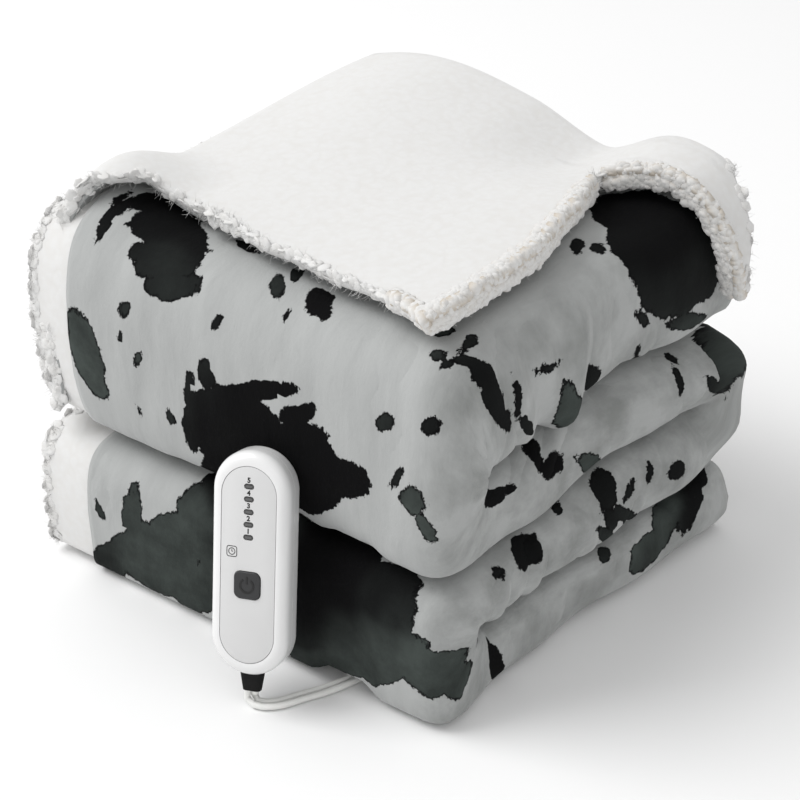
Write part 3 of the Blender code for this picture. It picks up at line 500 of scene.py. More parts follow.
def joined(meshes):
    """One bmesh of several."""
    whole = bmesh.new()
    for mesh in meshes:
        data = bpy.data.meshes.new("part")
        mesh.to_mesh(data)
        mesh.free()
        whole.from_mesh(data)
        bpy.data.meshes.remove(data)
    return whole


SIGN_HEIGHTS = (BUTTON_PROUD - 0.0001, BUTTON_PROUD + 0.00018)
sign_meshes = [
    arc_band(SIGN_RADIUS, SIGN_STROKE, 90 + SIGN_OPEN, 450 - SIGN_OPEN, 40, *SIGN_HEIGHTS, (0, BUTTON_Y - 0.0002)),
    bar(SIGN_STROKE, 0.0042, *SIGN_HEIGHTS, (0, BUTTON_Y + 0.0030)),
]
power_sign = on_handset("power_sign", joined(sign_meshes), [sign_black], "button")

# Heat lights. Five smoked lenses in dark rims, with the numbers 1 to 5 and a clock face in a rounded
# square printed in black above them.
lens_smoke, tree, shader = shader_of("smoked_lens", 0.3, (0.15, 0.15, 0.15))
shader.inputs["Coat Weight"].default_value = 0.5
dress(tree, shader, two_tone(tree, object_noise(tree, 700.0), (0.055, 0.055, 0.055), (0.11, 0.11, 0.11)))
for i in range(LIGHTS):
    y = LIGHT_FIRST_Y + i * LIGHT_PITCH
    lens = round_edge(pill(LIGHT_SIZE, -0.0021, 0.0001, 24, (0, y)), 0.0001, 0.0002, 2)
    top = max(lens.faces, key=lambda face: face.calc_center_median().z)
    for face in bmesh.ops.inset_individual(lens, faces=[top], thickness=0.00032)["faces"]:
        face.material_index = 1
    light = on_handset(f"heat_light_{i + 1}", lens, [lens_smoke, sign_black])
    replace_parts(light, f"level_light_{i + 1}")

number_meshes = []
for i in range(LIGHTS):
    words = bpy.data.curves.new("number", "FONT")
    words.body = str(i + 1)
    words.size, words.extrude, words.offset = 0.0040, PRINT_LIFT / 2, 0.00018
    words.align_x = "CENTER"
    words.resolution_u = 4
    text = bpy.data.objects.new("number", words)
    scene.collection.objects.link(text)
    bpy.context.view_layer.update()
    flat = bpy.data.meshes.new_from_object(text.evaluated_get(bpy.context.evaluated_depsgraph_get()))
    flat.transform(Matrix.Translation((-0.0001, LIGHT_FIRST_Y + i * LIGHT_PITCH + 0.0023, PRINT_LIFT / 2)))
    mesh = bmesh.new()
    mesh.from_mesh(flat)
    number_meshes.append(mesh)
    bpy.data.objects.remove(text)
CLOCK_AT = (-0.0098, 0.0075)
clock = [
    arc_band(0.00190, 0.00045, 0, 360, 32, 0, PRINT_LIFT, CLOCK_AT),
    bar(0.0004, 0.0013, 0, PRINT_LIFT, (CLOCK_AT[0], CLOCK_AT[1] + 0.0006)),
    bar(0.0010, 0.0004, 0, PRINT_LIFT, (CLOCK_AT[0] + 0.00035, CLOCK_AT[1])),
]
CLOCK_FRAME, CLOCK_FRAME_LINE, CLOCK_FRAME_CORNER = 0.0065, 0.00045, 0.0015
mesh = bmesh.new()
bmesh.ops.create_grid(mesh, x_segments=1, y_segments=1, size=CLOCK_FRAME / 2)
bmesh.ops.bevel(
    mesh, geom=mesh.verts[:], offset=CLOCK_FRAME_CORNER, segments=6, profile=0.5, affect="VERTICES", material=-1
)
bmesh.ops.inset_region(mesh, faces=mesh.faces[:], thickness=CLOCK_FRAME_LINE, use_boundary=True)
middle = max(mesh.faces, key=lambda face: face.calc_area())
bmesh.ops.delete(mesh, geom=[middle], context="FACES")
clock.append(raised(mesh, 0, PRINT_LIFT, CLOCK_AT))
on_handset("printed_numbers", joined(number_meshes), [sign_black])
on_handset("printed_clock", joined(clock), [sign_black])

# Lead relief. Soft black rubber, wider where the two shells grip it and tapered to the leads.
relief_black, tree, shader = shader_of("relief_black", 0.75, (0.018, 0.018, 0.018))
grain = object_noise(tree, 1800.0, 3.0)
tone = two_tone(tree, grain, (0.005, 0.005, 0.005), (0.012, 0.012, 0.012))
dress(tree, shader, tone, relief=(grain, 0.15, 0.0001))
shader.inputs["Specular IOR Level"].default_value = 0.15
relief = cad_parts["lead_relief"]
relief.data.materials.clear()
relief.data.materials.append(relief_black)

# Folded throw. A warm layer lies between a printed plush face and a curly pile back, which are sewn together
# at the hems. It is folded in four across, then back and forth, and its last length is turned back over the
# top with the pile outwards.
PLUSH, PILE, PILE_ROOM, BETWEEN_CLOTHS, LAYER_GAP = 0.0025, 0.0060, 0.0075, 0.0005, 0.0035
FACE_SIDE, PILE_SIDE = PLUSH + BETWEEN_CLOTHS / 2, PILE_ROOM + BETWEEN_CLOTHS / 2
PILE_PITCH, FACE_PITCH = 2 * PILE_SIDE + LAYER_GAP, 2 * FACE_SIDE + LAYER_GAP
LAYER_OUT, LAYER_IN = PILE_PITCH + FACE_PITCH / 2, FACE_PITCH / 2
PLY_HALF = LAYER_OUT + FACE_SIDE
PLY_PITCH = 2 * PLY_HALF + LAYER_GAP
PLIES = 4
DEPTH, FRONT_FOLD_Y, BACK_FOLD_Y, START_Y, TOP_END_Y = 0.300, -0.098, 0.097, 0.128, 0.134
LOOP_X = 0.145 - FACE_SIDE - LAYER_OUT
INNER_FOLD_X, STEP_START_X, STEP_END_X = 0.064, 0.080, 0.116
LEFT_EDGE_X = (-0.132, -0.126, -0.124, -0.140)
PILE_OVERHANG = (0.040, 0.042, 0.040, 0.030)
SHEET_OVERHANG = 0.003
LEFT_FOLD_X = (-0.148, -0.145, -0.134, -0.131)
FOLD_SHAPE = ((0.22, 0.44), (0.75, 0.75), (0.36, 0.55))
LOOP_SHAPE = (0.40, 0.72, 0.72, 0.72)
LOWER_ROLL, UPPER_ROLL = 0.100, 0.1365
LOWER_WAVE, UPPER_WAVE = (0.030, 16, 8, 0.0), (0.015, 13, -17, 0.7)
HUMPS = (
    # height that the upper roll gains, x, reach in x, y, reach in y
    (0.027, -0.090, 0.140, 0.120, 0.240),
    (0.016, -0.140, 0.060, -0.110, 0.060),
    (-0.012, 0.055, 0.070, 0.115, 0.105),
    (0.012, 0.095, 0.055, 0.130, 0.090),
)
SEAM_DIP, SEAM_DIP_X, SEAM_DIP_Y, END_SEAM = 0.012, 0.07, (0.02, 0.10), (0.50, 0.34)
UPPER_FORWARD, LOWER_FORWARD, FORWARD_Y = 0.013, 0.018, (0.10, 0.15)
SIDEWAYS_WAVE, RIGHT_X, LEFT_X = (0.0025, 19, 0, 1.1), (0.05, 0.09), (-0.06, 0.08)
END_REACH, END_SPREAD, END_SPREAD_Y = (0.004, 0.005, -0.003, 0.004), (0.012, 0.016, 0.024, 0.000), (-0.06, 0.16)
END_PLY_REACH, END_LONG_WAVE, END_SHORT_WAVE = 0.9, (0.0030, 21, 1.9), (0.0016, 75, 3.1)
LEFT_BULGE, LEFT_WAVE, LEFT_WAIST = 0.002, (0.0035, 17, 30), 0.008
GROOVE_X, GROOVE_SLANT, GROOVE_LIFT, GROOVE_HALF, GROOVE_SIDE = 0.082, 0.010, 0.0078, 0.0125, 0.016
SHEET_RISE = 2 * FACE_SIDE + 1.5 * LAYER_GAP
SHEET_LEFT_X, SHEET_LEFT_BEND, LEFT_DRAPE_STEPS = -0.132, 0.020, 4
SHEET_RIGHT_X, SHEET_RIGHT_BEND, RIGHT_DRAPE_STEPS = LOOP_X + 0.005, LAYER_OUT + SHEET_RISE, 3
TOP_STEPS, FIRST_SHARE, SPREAD_DEPTH = 14, 0.50, 0.02
SHEET_ROWS = (
    # y, left reach, right reach, the reaches measured along the cloth from the middle
    (0.128, -0.160, 0.150),
    (0.120, -0.178, 0.163),
    (0.112, -0.194, 0.176),
    (0.104, -0.205, 0.181),
    (0.097, -0.213, 0.162),
    (0.089, -0.217, 0.132),
    (0.079, -0.222, 0.104),
    (0.066, -0.228, 0.088),
    (0.044, -0.235, 0.092),
)
SHEET_LAST_ROWS = (
    # share of the way to the front edge, left reach, right reach
    (0.00, -0.235, 0.092),
    (0.22, -0.240, 0.107),
    (0.42, -0.244, 0.116),
    (0.60, -0.246, 0.123),
    (0.76, -0.246, 0.127),
    (0.89, -0.243, 0.126),
    (1.00, -0.238, 0.119),
)
FRONT_EDGE = (
    # reach, y of the front edge, both measured along the cloth
    (-0.240, -0.146),
    (-0.205, -0.143),
    (-0.175, -0.136),
    (-0.155, -0.120),
    (-0.135, -0.105),
    (-0.115, -0.098),
    (-0.095, -0.096),
    (-0.050, -0.099),
    (0.000, -0.104),
    (0.060, -0.110),
    (0.100, -0.113),
    (0.125, -0.120),
)


def bump(distance, reach):
    """1 at no distance, falling smoothly to 0 at the reach."""
    return 1 - smooth(abs(distance) / reach)


def wave(shape, a, b):
    """A sine of that size over two places, from how fast it turns with each and its phase."""
    size, by_a, by_b, *phase = shape
    return size * math.sin(by_a * a + by_b * b + sum(phase))


def spread(start, end, steps):
    """That many even steps from the start, which is left out, to the end."""
    return [mix(start, end, i / steps) for i in range(1, steps + 1)]


def rounded(angle, shape):
    """(across, up) on a half turn between a half circle and a box, since the rolls press flat on each other."""
    across, up = math.cos(math.radians(angle)), math.sin(math.radians(angle))
    return math.copysign(abs(across) ** shape, across), math.copysign(abs(up) ** shape, up)


def section(left, hem, fold_x, loop_shape, steps):
    """The strip cut across, as (x, n): the seam between the two cloths, n above the strip's middle."""
    hem_steps, top, loop, step, flat, fold, last = steps
    points = [(mix(left - hem, left, i / hem_steps), LAYER_OUT) for i in range(hem_steps)]
    points.append((left, LAYER_OUT))
    points += [(x, LAYER_OUT) for x in spread(left, LOOP_X, top)]
    for turn in spread(90, -90, loop):
        across, up = rounded(turn, loop_shape)
        points.append((LOOP_X + LAYER_OUT * across, LAYER_OUT * up))
    for x in spread(STEP_END_X, STEP_START_X, step):
        share = (x - STEP_START_X) / (STEP_END_X - STEP_START_X)
        points.append((x, mix(LAYER_IN, -LAYER_OUT, smooth(share))))
    points += [(x, LAYER_IN) for x in spread(STEP_START_X, fold_x, flat)]
    for turn in spread(90, 270, fold):
        points.append(
            (fold_x + LAYER_IN * math.cos(math.radians(turn)), LAYER_IN * math.sin(math.radians(turn)))
        )
    points += [(x, -LAYER_IN) for x in spread(fold_x, INNER_FOLD_X, flat)]
    middle, radius = -(LAYER_IN + LAYER_OUT) / 2, PILE_PITCH / 2
    for turn in spread(90, -90, fold):
        points.append(
            (
                INNER_FOLD_X + radius * math.cos(math.radians(turn)),
                middle + radius * math.sin(math.radians(turn)),
            )
        )
    points += [(x, -LAYER_OUT) for x in spread(INNER_FOLD_X, left, last)]
    return points + [(mix(left, left - hem, i / hem_steps), -LAYER_OUT) for i in range(1, hem_steps + 1)]


def stations(run_steps, fold_steps):
    """The strip from its lower end to its upper one, as (kind, ply, place): a run's place is its y, a fold's
    an angle."""
    starts = (START_Y, FRONT_FOLD_Y, BACK_FOLD_Y, FRONT_FOLD_Y)
    ends = (FRONT_FOLD_Y, BACK_FOLD_Y, FRONT_FOLD_Y, TOP_END_Y)
    path = [("run", 0, START_Y)]
    for ply in range(PLIES):
        path += [("run", ply, y) for y in spread(starts[ply], ends[ply], run_steps[ply])]
        if ply < PLIES - 1:
            fold = "front" if ply % 2 == 0 else "back"
            path += [(fold, ply, angle) for angle in spread(-90, 90, fold_steps[ply])[:-1]]
            path.append(("run", ply + 1, starts[ply + 1]))
    return path


def along_strip(station, n):
    """(y, z) of a point n above the strip's middle, before the pack settles."""
    kind, ply, place = station
    middle = PLY_HALF + ply * PLY_PITCH
    if kind == "run":
        return place, middle + (n if ply % 2 else -n)
    across, up = rounded(place, FOLD_SHAPE[ply][place > 0])
    if kind == "front":
        radius = PLY_PITCH / 2 + n
        return FRONT_FOLD_Y - radius * across, middle + PLY_PITCH / 2 + radius * up
    radius = PLY_PITCH / 2 - n
    return BACK_FOLD_Y + radius * across, middle + PLY_PITCH / 2 + radius * up


def end_reach(y, z):
    """How far the closed folds stand out at the +X end, a little different for each ply and along it."""
    ply = min(z / PLY_PITCH, PLIES) - 0.5
    back = smooth((y - END_SPREAD_Y[0]) / END_SPREAD_Y[1])
    ends = [reach + more * back for reach, more in zip(END_REACH, END_SPREAD)]
    reach = sum(end * bump(ply - i, END_PLY_REACH) for i, end in enumerate(ends))
    return reach + wave(END_LONG_WAVE, y, ply) + wave(END_SHORT_WAVE, y, ply)


def settle(x, y, z):
    """The pack as it lies: pressed, leaning and uneven, but flat where it rests."""
    floor, middle, top = FACE_SIDE, 2 * PLY_PITCH, PLIES * PLY_PITCH
    right = smooth((x - RIGHT_X[0]) / RIGHT_X[1])
    left = smooth((LEFT_X[0] - x) / LEFT_X[1])
    high = smooth(2 * z / middle - 1.5)
    x += end_reach(y, z) * right
    x -= (wave(LEFT_WAVE, y, z) + LEFT_BULGE - LEFT_WAIST * bump(z / middle - 1, 0.6)) * left
    y -= mix(LOWER_FORWARD, UPPER_FORWARD, high) * smooth((FORWARD_Y[0] - y) / FORWARD_Y[1])
    y += wave(SIDEWAYS_WAVE, x, y) * smooth(3 * z / middle - 0.5)
    dip = SEAM_DIP * smooth(x / SEAM_DIP_X) * smooth((SEAM_DIP_Y[0] - y) / SEAM_DIP_Y[1])
    lower = LOWER_ROLL * (1 + wave(LOWER_WAVE, x, y)) - dip
    upper = UPPER_ROLL * (1 + wave(UPPER_WAVE, x, y)) + dip
    for height, hump_x, reach_x, hump_y, reach_y in HUMPS:
        upper += height * bump(x - hump_x, reach_x) * bump(y - hump_y, reach_y)
    if z < middle:
        share = (z - floor) / (middle - floor)
        height = floor + (lower - floor) * share if share > 0 else z
    else:
        share = (z - middle) / (top - middle)
        seam = mix(END_SEAM[0], END_SEAM[1], right)
        warped = share * seam / 0.5 if share < 0.5 else seam + (share - 0.5) * (1 - seam) / 0.5
        height = lower + upper * warped
    away = abs(x - GROOVE_X - GROOVE_SLANT * y / DEPTH) - GROOVE_HALF
    lift = GROOVE_LIFT * (1 - smooth(away / GROOVE_SIDE))
    height += lift * max(1 - height / (LOWER_ROLL + UPPER_ROLL), 0)
    return Vector((x, y, height))


def by_ply(values, station):
    """A value given for each ply, changing evenly round the fold to the next ply."""
    kind, ply, place = station
    return values[ply] if kind == "run" else mix(values[ply], values[ply + 1], (place + 90) / 180)


def sheet_reach(reach):
    """(x, drop) of a place that far along the top sheet from its middle, past the end it hangs over."""
    side = 1 if reach > 0 else -1
    edge, bend = (SHEET_RIGHT_X, SHEET_RIGHT_BEND) if side > 0 else (-SHEET_LEFT_X, SHEET_LEFT_BEND)
    past = abs(reach) - edge
    if past <= 0:
        return reach, 0
    turn = past / bend
    if turn < math.pi / 2:
        return side * (edge + bend * math.sin(turn)), bend * (1 - math.cos(turn))
    return side * (edge + bend), bend + past - bend * math.pi / 2


def sheet_row(left, right):
    """Where the top sheet's columns lie between its two reaches: close together where it bends down."""
    past = SHEET_LEFT_X - left
    bend = SHEET_LEFT_BEND * math.pi / 2 / (LEFT_DRAPE_STEPS - 1)
    places = [SHEET_LEFT_X - min(i * bend, past * i / LEFT_DRAPE_STEPS) for i in range(1, LEFT_DRAPE_STEPS)]
    places = [left, *reversed(places)]
    rest = TOP_STEPS - LEFT_DRAPE_STEPS
    hanging = smooth((right - SHEET_RIGHT_X) / 0.05)
    flat = rest - RIGHT_DRAPE_STEPS
    for i in range(rest + 1):
        bent = (
            mix(SHEET_LEFT_X, SHEET_RIGHT_X, i / flat)
            if i <= flat
            else mix(SHEET_RIGHT_X, right, (i - flat) / RIGHT_DRAPE_STEPS)
        )
        places.append(mix(mix(SHEET_LEFT_X, right, i / rest), bent, hanging))
    return places


def curve_at(rows, place):
    """A row between two of a table's rows, on a smooth curve through them."""
    i = min(max(int(place), 0), len(rows) - 2)
    before, first, last, after = (rows[min(max(j, 0), len(rows) - 1)] for j in range(i - 1, i + 3))
    t = place - i
    return [
        0.5 * (2 * b + (c - a) * t + (2 * a - 5 * b + 4 * c - d) * t * t + (3 * b - a - 3 * c + d) * t**3)
        for a, b, c, d in zip(before, first, last, after)
    ]


def front_edge(x):
    """y of the top sheet's front edge at x, measured along the cloth."""
    x = min(max(x, FRONT_EDGE[0][0]), FRONT_EDGE[-1][0])
    for (x_0, y_0), (x_1, y_1) in zip(FRONT_EDGE, FRONT_EDGE[1:]):
        if x <= x_1:
            return mix(y_0, y_1, smooth((x - x_0) / (x_1 - x_0)))
    return FRONT_EDGE[-1][1]


def over_front(y, n):
    """(y, z) of a place at y along the cloth, n above the top ply's middle, where the front fold rounds it."""
    if y >= FRONT_FOLD_Y:
        return along_strip(("run", PLIES - 1, y), n)
    turn = math.degrees((FRONT_FOLD_Y - y) / (PLY_PITCH / 2 + LAYER_OUT)) * 0.9
    return along_strip(("front", PLIES - 2, 90 - turn), n)


def sheet_points(strip_x, hem_steps, top, hem, front_share, turn_steps, row_steps, last_steps):
    """Rows of (place, u, y along the cloth) of the top sheet's seam, from the fold at the back to its front."""
    level = along_strip(("run", PLIES - 1, 0), LAYER_OUT)[1]
    above = LAYER_OUT + SHEET_RISE
    radius = SHEET_RISE / 2

    def columns(left, right):
        places = sheet_row(left, right)
        fine = []
        for i in range(top + 1):
            j = min(int(i * TOP_STEPS / top), TOP_STEPS - 1)
            fine.append(mix(places[j], places[j + 1], i * TOP_STEPS / top - j))
        return [left - hem * (1 - i / hem_steps) for i in range(hem_steps)] + fine

    rows = []
    for turn in spread(-90, 90, turn_steps):
        share = FIRST_SHARE * smooth((turn + 90) / 180)
        y = TOP_END_Y + radius * math.cos(math.radians(turn))
        z = level + radius + radius * math.sin(math.radians(turn))
        row = [mix(a, b, share) for a, b in zip(strip_x, columns(*SHEET_ROWS[0][1:]))]
        rows.append([(x, y, z) for x in row])
    for i in range(row_steps):
        y, left, right = curve_at(SHEET_ROWS, i * (len(SHEET_ROWS) - 1) / row_steps)
        share = mix(FIRST_SHARE, 1, smooth((SHEET_ROWS[0][0] - y) / SPREAD_DEPTH + 0.5))
        row = [mix(a, b, share) for a, b in zip(strip_x, columns(left, right))]
        rows.append([(x, *over_front(y, above)) for x in row])
    last_y = SHEET_ROWS[-1][0]
    for i in range(last_steps + 1):
        place = i * front_share * (len(SHEET_LAST_ROWS) - 1) / last_steps
        way, left, right = curve_at(SHEET_LAST_ROWS, place)
        rows.append([(x, *over_front(mix(last_y, front_edge(x), way), above)) for x in columns(left, right)])
    placed = []
    for row in rows:
        line = []
        for reach, y, z in row:
            x, drop = sheet_reach(reach)
            line.append(settle(x, y, z - drop))
        placed.append(line)
    return placed


def grid_on(mesh, rows, layer, u_start, v_start):
    """Adds a grid of faces through rows of points, with its UV map in metres along the cloth."""
    tall, wide = len(rows) - 1, len(rows[0]) - 1
    u_at, v_at = [u_start], [v_start]
    for a, b in zip(rows[tall // 3], rows[tall // 3][1:]):
        u_at.append(u_at[-1] + (b - a).length)
    for a, b in zip(rows, rows[1:]):
        v_at.append(v_at[-1] + (b[wide // 3] - a[wide // 3]).length)
    made = bmesh.ops.create_grid(mesh, x_segments=wide, y_segments=tall, size=0.5)
    spots = {}
    for vertex in made["verts"]:
        column, row = round((vertex.co.x + 0.5) * wide), round((vertex.co.y + 0.5) * tall)
        vertex.co = rows[row][column]
        spots[vertex] = (u_at[column], v_at[row])
    for face in {face for vertex in made["verts"] for face in vertex.link_faces}:
        for loop in face.loops:
            loop[layer].uv = spots[loop.vert]
    return v_at[-1]


def cloth(name, side, thickness, hems, sheet_hem, front_share, steps, run_steps, fold_steps, sheet_steps, material):
    """One of the two cloths, whole: the folded strip and the top sheet that goes on from its outer layer.
    side is 1 for the cloth on the plush side of the seam and -1 for the one on the pile side, and front_share
    is how far the cloth goes towards the top sheet's front hem."""
    rows = []
    for station in stations(run_steps, fold_steps):
        across = section(
            by_ply(LEFT_EDGE_X, station),
            by_ply(hems, station),
            by_ply(LEFT_FOLD_X, station),
            by_ply(LOOP_SHAPE, station),
            steps,
        )
        rows.append([settle(x, *along_strip(station, n)) for x, n in across])
    outer = steps[0] + steps[1] + 1
    strip_x = [x for x, _ in across[:outer]]
    mesh = bmesh.new()
    layer = mesh.loops.layers.uv.new("cloth")
    end = grid_on(mesh, rows, layer, 0, 0)
    sheet = [rows[-1][:outer]] + sheet_points(strip_x, steps[0], steps[1], sheet_hem, front_share, *sheet_steps)
    grid_on(mesh, sheet, layer, 0, end)
    bmesh.ops.remove_doubles(mesh, verts=mesh.verts, dist=0.00001)
    bmesh.ops.recalc_face_normals(mesh, faces=mesh.faces)
    lowest = min(mesh.faces, key=lambda face: face.calc_center_median().z)
    if lowest.normal.z > 0:
        bmesh.ops.reverse_faces(mesh, faces=mesh.faces)
    mesh.normal_update()
    for vertex in mesh.verts:
        vertex.co += vertex.normal * side * BETWEEN_CLOTHS / 2 + SHIFT
    piece = finished(name, mesh, [material])
    solid = piece.modifiers.new("thickness", "SOLIDIFY")
    solid.thickness, solid.offset = thickness, side
    with bpy.context.temp_override(object=piece, active_object=piece):
        bpy.ops.object.modifier_apply(modifier=solid.name)
    piece.data.shade_smooth()
    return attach(piece, "throw")


# Besides the print, a few small patches just under the top sheet's hems are painted hem shadow.
PATCHES = (
    # u, v, half length, half width in millimetres, angle in degrees, how grey the inside is
    (25, 1064, 20.1, 7.6, -114, 0),
    (40, 1053, 22.4, 18, -91, 0.1),
    (61, 1029, 21.1, 16.1, 157, 0.35),
    (64, 1045, 23.7, 10.1, 131, 0.1),
    (51, 1021, 11.5, 8.6, 130, 0.3),
    (74, 1013, 17.5, 8.1, -166, 0.4),
    (85, 1020, 6.2, 4, -180, 0.2),
    (60, 1010, 6.6, 5.5, -145, 0.2),
    (41, 1025, 7.6, 5.2, 136, 0.2),
    (28, 1040, 6.8, 2.8, -122, 0),
    (74, 1042, 5.1, 4.3, -156, 0),
    (13, 1037, 10.1, 3.1, -91, 0.2),
    (15, 1046, 9.4, 3, 93, 0.1),
    (15, 1027, 5.9, 2.4, -97, 0.2),
    (10, 1049, 7.9, 2.8, -93, 0),
    (12, 951, 27.7, 12.2, 102, 1),
    (8, 961, 16.3, 7.8, -102, 1),
    (17, 936, 11, 8.3, 106, 1),
    (101, 969, 11.8, 6.5, 100, 0.3),
    (88, 956, 13.8, 4.4, -100, 0.3),
    (88, 936, 21.4, 7.3, 80, 0.2),
    (113, 955, 28.4, 12.2, -157, 0),
    (142, 974, 26.1, 5.8, -157, 0),
    (158, 981, 6.9, 3.5, -166, 0),
    (112, 936, 27.5, 17.6, -134, 0.1),
    (131, 943, 29.3, 17.1, -143, 0),
    (168, 970, 15.9, 5.5, -153, 0),
    (158, 959, 16.4, 5, -153, 0),
    (163, 949, 29.8, 12.1, -150, 0),
    (176, 944, 23, 14.3, -149, 0),
    (128, 913, 61.8, 23.9, -142, 0),
    (202, 943, 23.3, 11.7, -149, 0),
    (181, 924, 25.3, 10, -150, 0),
    (107, 383, 27.9, 20.3, 174, 0),
    (100, 940, 23.1, 14.4, 62, 0),
    (37, 344, 21.5, 7.8, -98, 0.8),
    (43, 333, 15.9, 9.4, -138, 0.9),
    (11, 299, 23.5, 12.1, 44, 0.4),
    (37, 318, 25.9, 14.8, -149, 0.9),
    (69, 334, 33.5, 21, -135, 1),
    (88, 361, 21.4, 15.9, 100, 0.8),
    (61, 313, 39.2, 17.4, -170, 0.8),
    (90, 312, 27.5, 14.8, -144, 0.8),
    (131, 349, 48.8, 30.8, -141, 0.6),
    (183, 354, 46.7, 40.8, 68, 0),
    (226, 361, 28.4, 22.5, -131, 0.2),
    (169, 374, 18.5, 14, 154, 0),
    (216, 321, 60.3, 20.3, -151, 0.9),
    (267, 330, 26, 18, 169, 1),
    (237, 354, 26.6, 19.1, 66, 0.4),
    (186, 306, 31.6, 20.5, -140, 0.7),
    (279, 318, 29.3, 8.6, 114, 0.9),
    (201, 371, 22.1, 11.7, 174, 0),
    (236, 376, 15.5, 12.3, 177, 0.2),
    (266, 1035, 12.4, 2.8, -124, 0.2),
    (274, 1039, 10.5, 5.1, -111, 0.1),
    (282, 1042, 14.7, 7.3, 73, 0.2),
    (288, 1049, 13.8, 4, 79, 0.1),
    (286, 1067, 6.4, 2.6, -158, 0.1),
    (296, 1079, 13.4, 1.7, -116, 0.3),
    (240, 1235, 30.1, 23, 87, 0),
    (264, 1228, 45.1, 20.5, -89, 0.05),
    (282, 1242, 52.4, 10.3, 82, 0.25),
    (283, 1224, 32.6, 10, -102, 0.3),
    (220, 1234, 17.8, 13.6, 125, 0),
    (252, 1204, 22.2, 8.8, 121, 0.1),
    (278, 1267, 17, 8.7, -94, 0.2),
    (408, 1483, 37.5, 0.8, 93, 0.2),
    (270, 1198, 12.8, 7.3, -77, 0.2),
    (299, 1250, 25.7, 3.6, -100, 0.7),
    (302, 644, 23.7, 3.2, 175, 0.9),
    (315, 645, 6.3, 1.2, 176, 0.2),
    (287, 649, 10.8, 4.1, -133, 0.3),
    (303, 67, 23.7, 12.6, 120, 0.9),
    (291, 93, 23.3, 7.8, 86, 1),
    (303, 46, 21.5, 12.3, 130, 0.1),
    (287, 100, 19.2, 4.2, -96, 0.9),
    (272, 527, 13, 8.9, 138, 0.2),
    (286, 523, 9.4, 5.7, -147, 0.2),
    (298, 523, 23.6, 4.1, -133, 0.6),
    (305, 135, 8.2, 4.7, 160, 0.4),
    (294, 542, 21.4, 4.6, -125, 0.4),
    (281, 543, 7.2, 2.7, 115, 0.3),
    (300, 1123, 15.1, 6.6, -127, 1),
    (283, 1099, 10.7, 1.9, 87, 0.2),
    (294, 800, 11.8, 6.4, 82, 0),
    (307, 809, 11.8, 6.8, 166, 0),
    (300, 1152, 12.5, 4.8, 56, 0.2),
    (245, 1172, 9.6, 4.6, 123, 0.2),
    (253, 1179, 7.7, 4.8, 112, 0.2),
    (289, 1199, 9.5, 2.4, -110, 0.3),
    (303, 1202, 6.5, 2.7, -134, 0.1),
    (312, 672, 4.6, 3.1, -175, 0.2),
    (298, 679, 8.5, 2.7, 167, 0.2),
    (302, 874, 34.7, 4.8, -93, 0.1),
    (273, 422, 6.5, 3.6, -97, 0.2),
    (272, 452, 14, 9.2, 109, 0.1),
    (263, 489, 5.3, 3.7, 124, 0.2),
    (278, 565, 5.1, 2.6, 138, 0.2),
    (276, 761, 21.3, 5.5, -125, 0.9),
    (283, 588, 8, 4.4, 84, 0.2),
    (309, 26, 14.4, 6.2, 108, 0),
    (109, 1003, 4.2, 2.5, -120, 0.2),
    (44, 992, 6.4, 3.5, -125, 0.5),
    (39, 972, 3.7, 1.9, -112, 0.3),
    (50, 963, 7, 2.5, -103, 0.8),
    (134, 1035, 11.5, 4.4, 128, 0.5),
    (136, 1048, 9.3, 3, 118, 0.3),
    (151, 1019, 4.2, 2.6, 95, 0.1),
    (163, 1034, 11.1, 7.9, 129, 0),
    (291, 1611, 8.8, 0.8, 0, 0.1),
    (93, 1060, 10, 3.8, 166, 0.2),
    (171, 1029, 7, 4.3, 141, 0),
    (231, 991, 8.1, 3.7, -149, 0.4),
    (261, 1000, 5.2, 3.3, -149, 0.2),
    (240, 969, 7.1, 2.6, -121, 0.1),
    (253, 963, 9.3, 7.6, 18, 1),
    (261, 951, 14.9, 4.7, 112, 0.9),
    (243, 1045, 8.4, 6.5, 113, 0.9),
    (253, 1029, 4.5, 2.9, -170, 0.6),
    (262, 1028, 4.3, 1.8, -128, 0.1),
    (261, 1044, 9.1, 2.8, 93, 0.3),
    (10, 337, 6.8, 4, 114, 0.5),
    (47, 927, 3.4, 1.7, 109, 0.2),
    (71, 931, 4.7, 3.7, 96, 0.5),
    (285, 241, 20.5, 6.5, -142, 0),
)
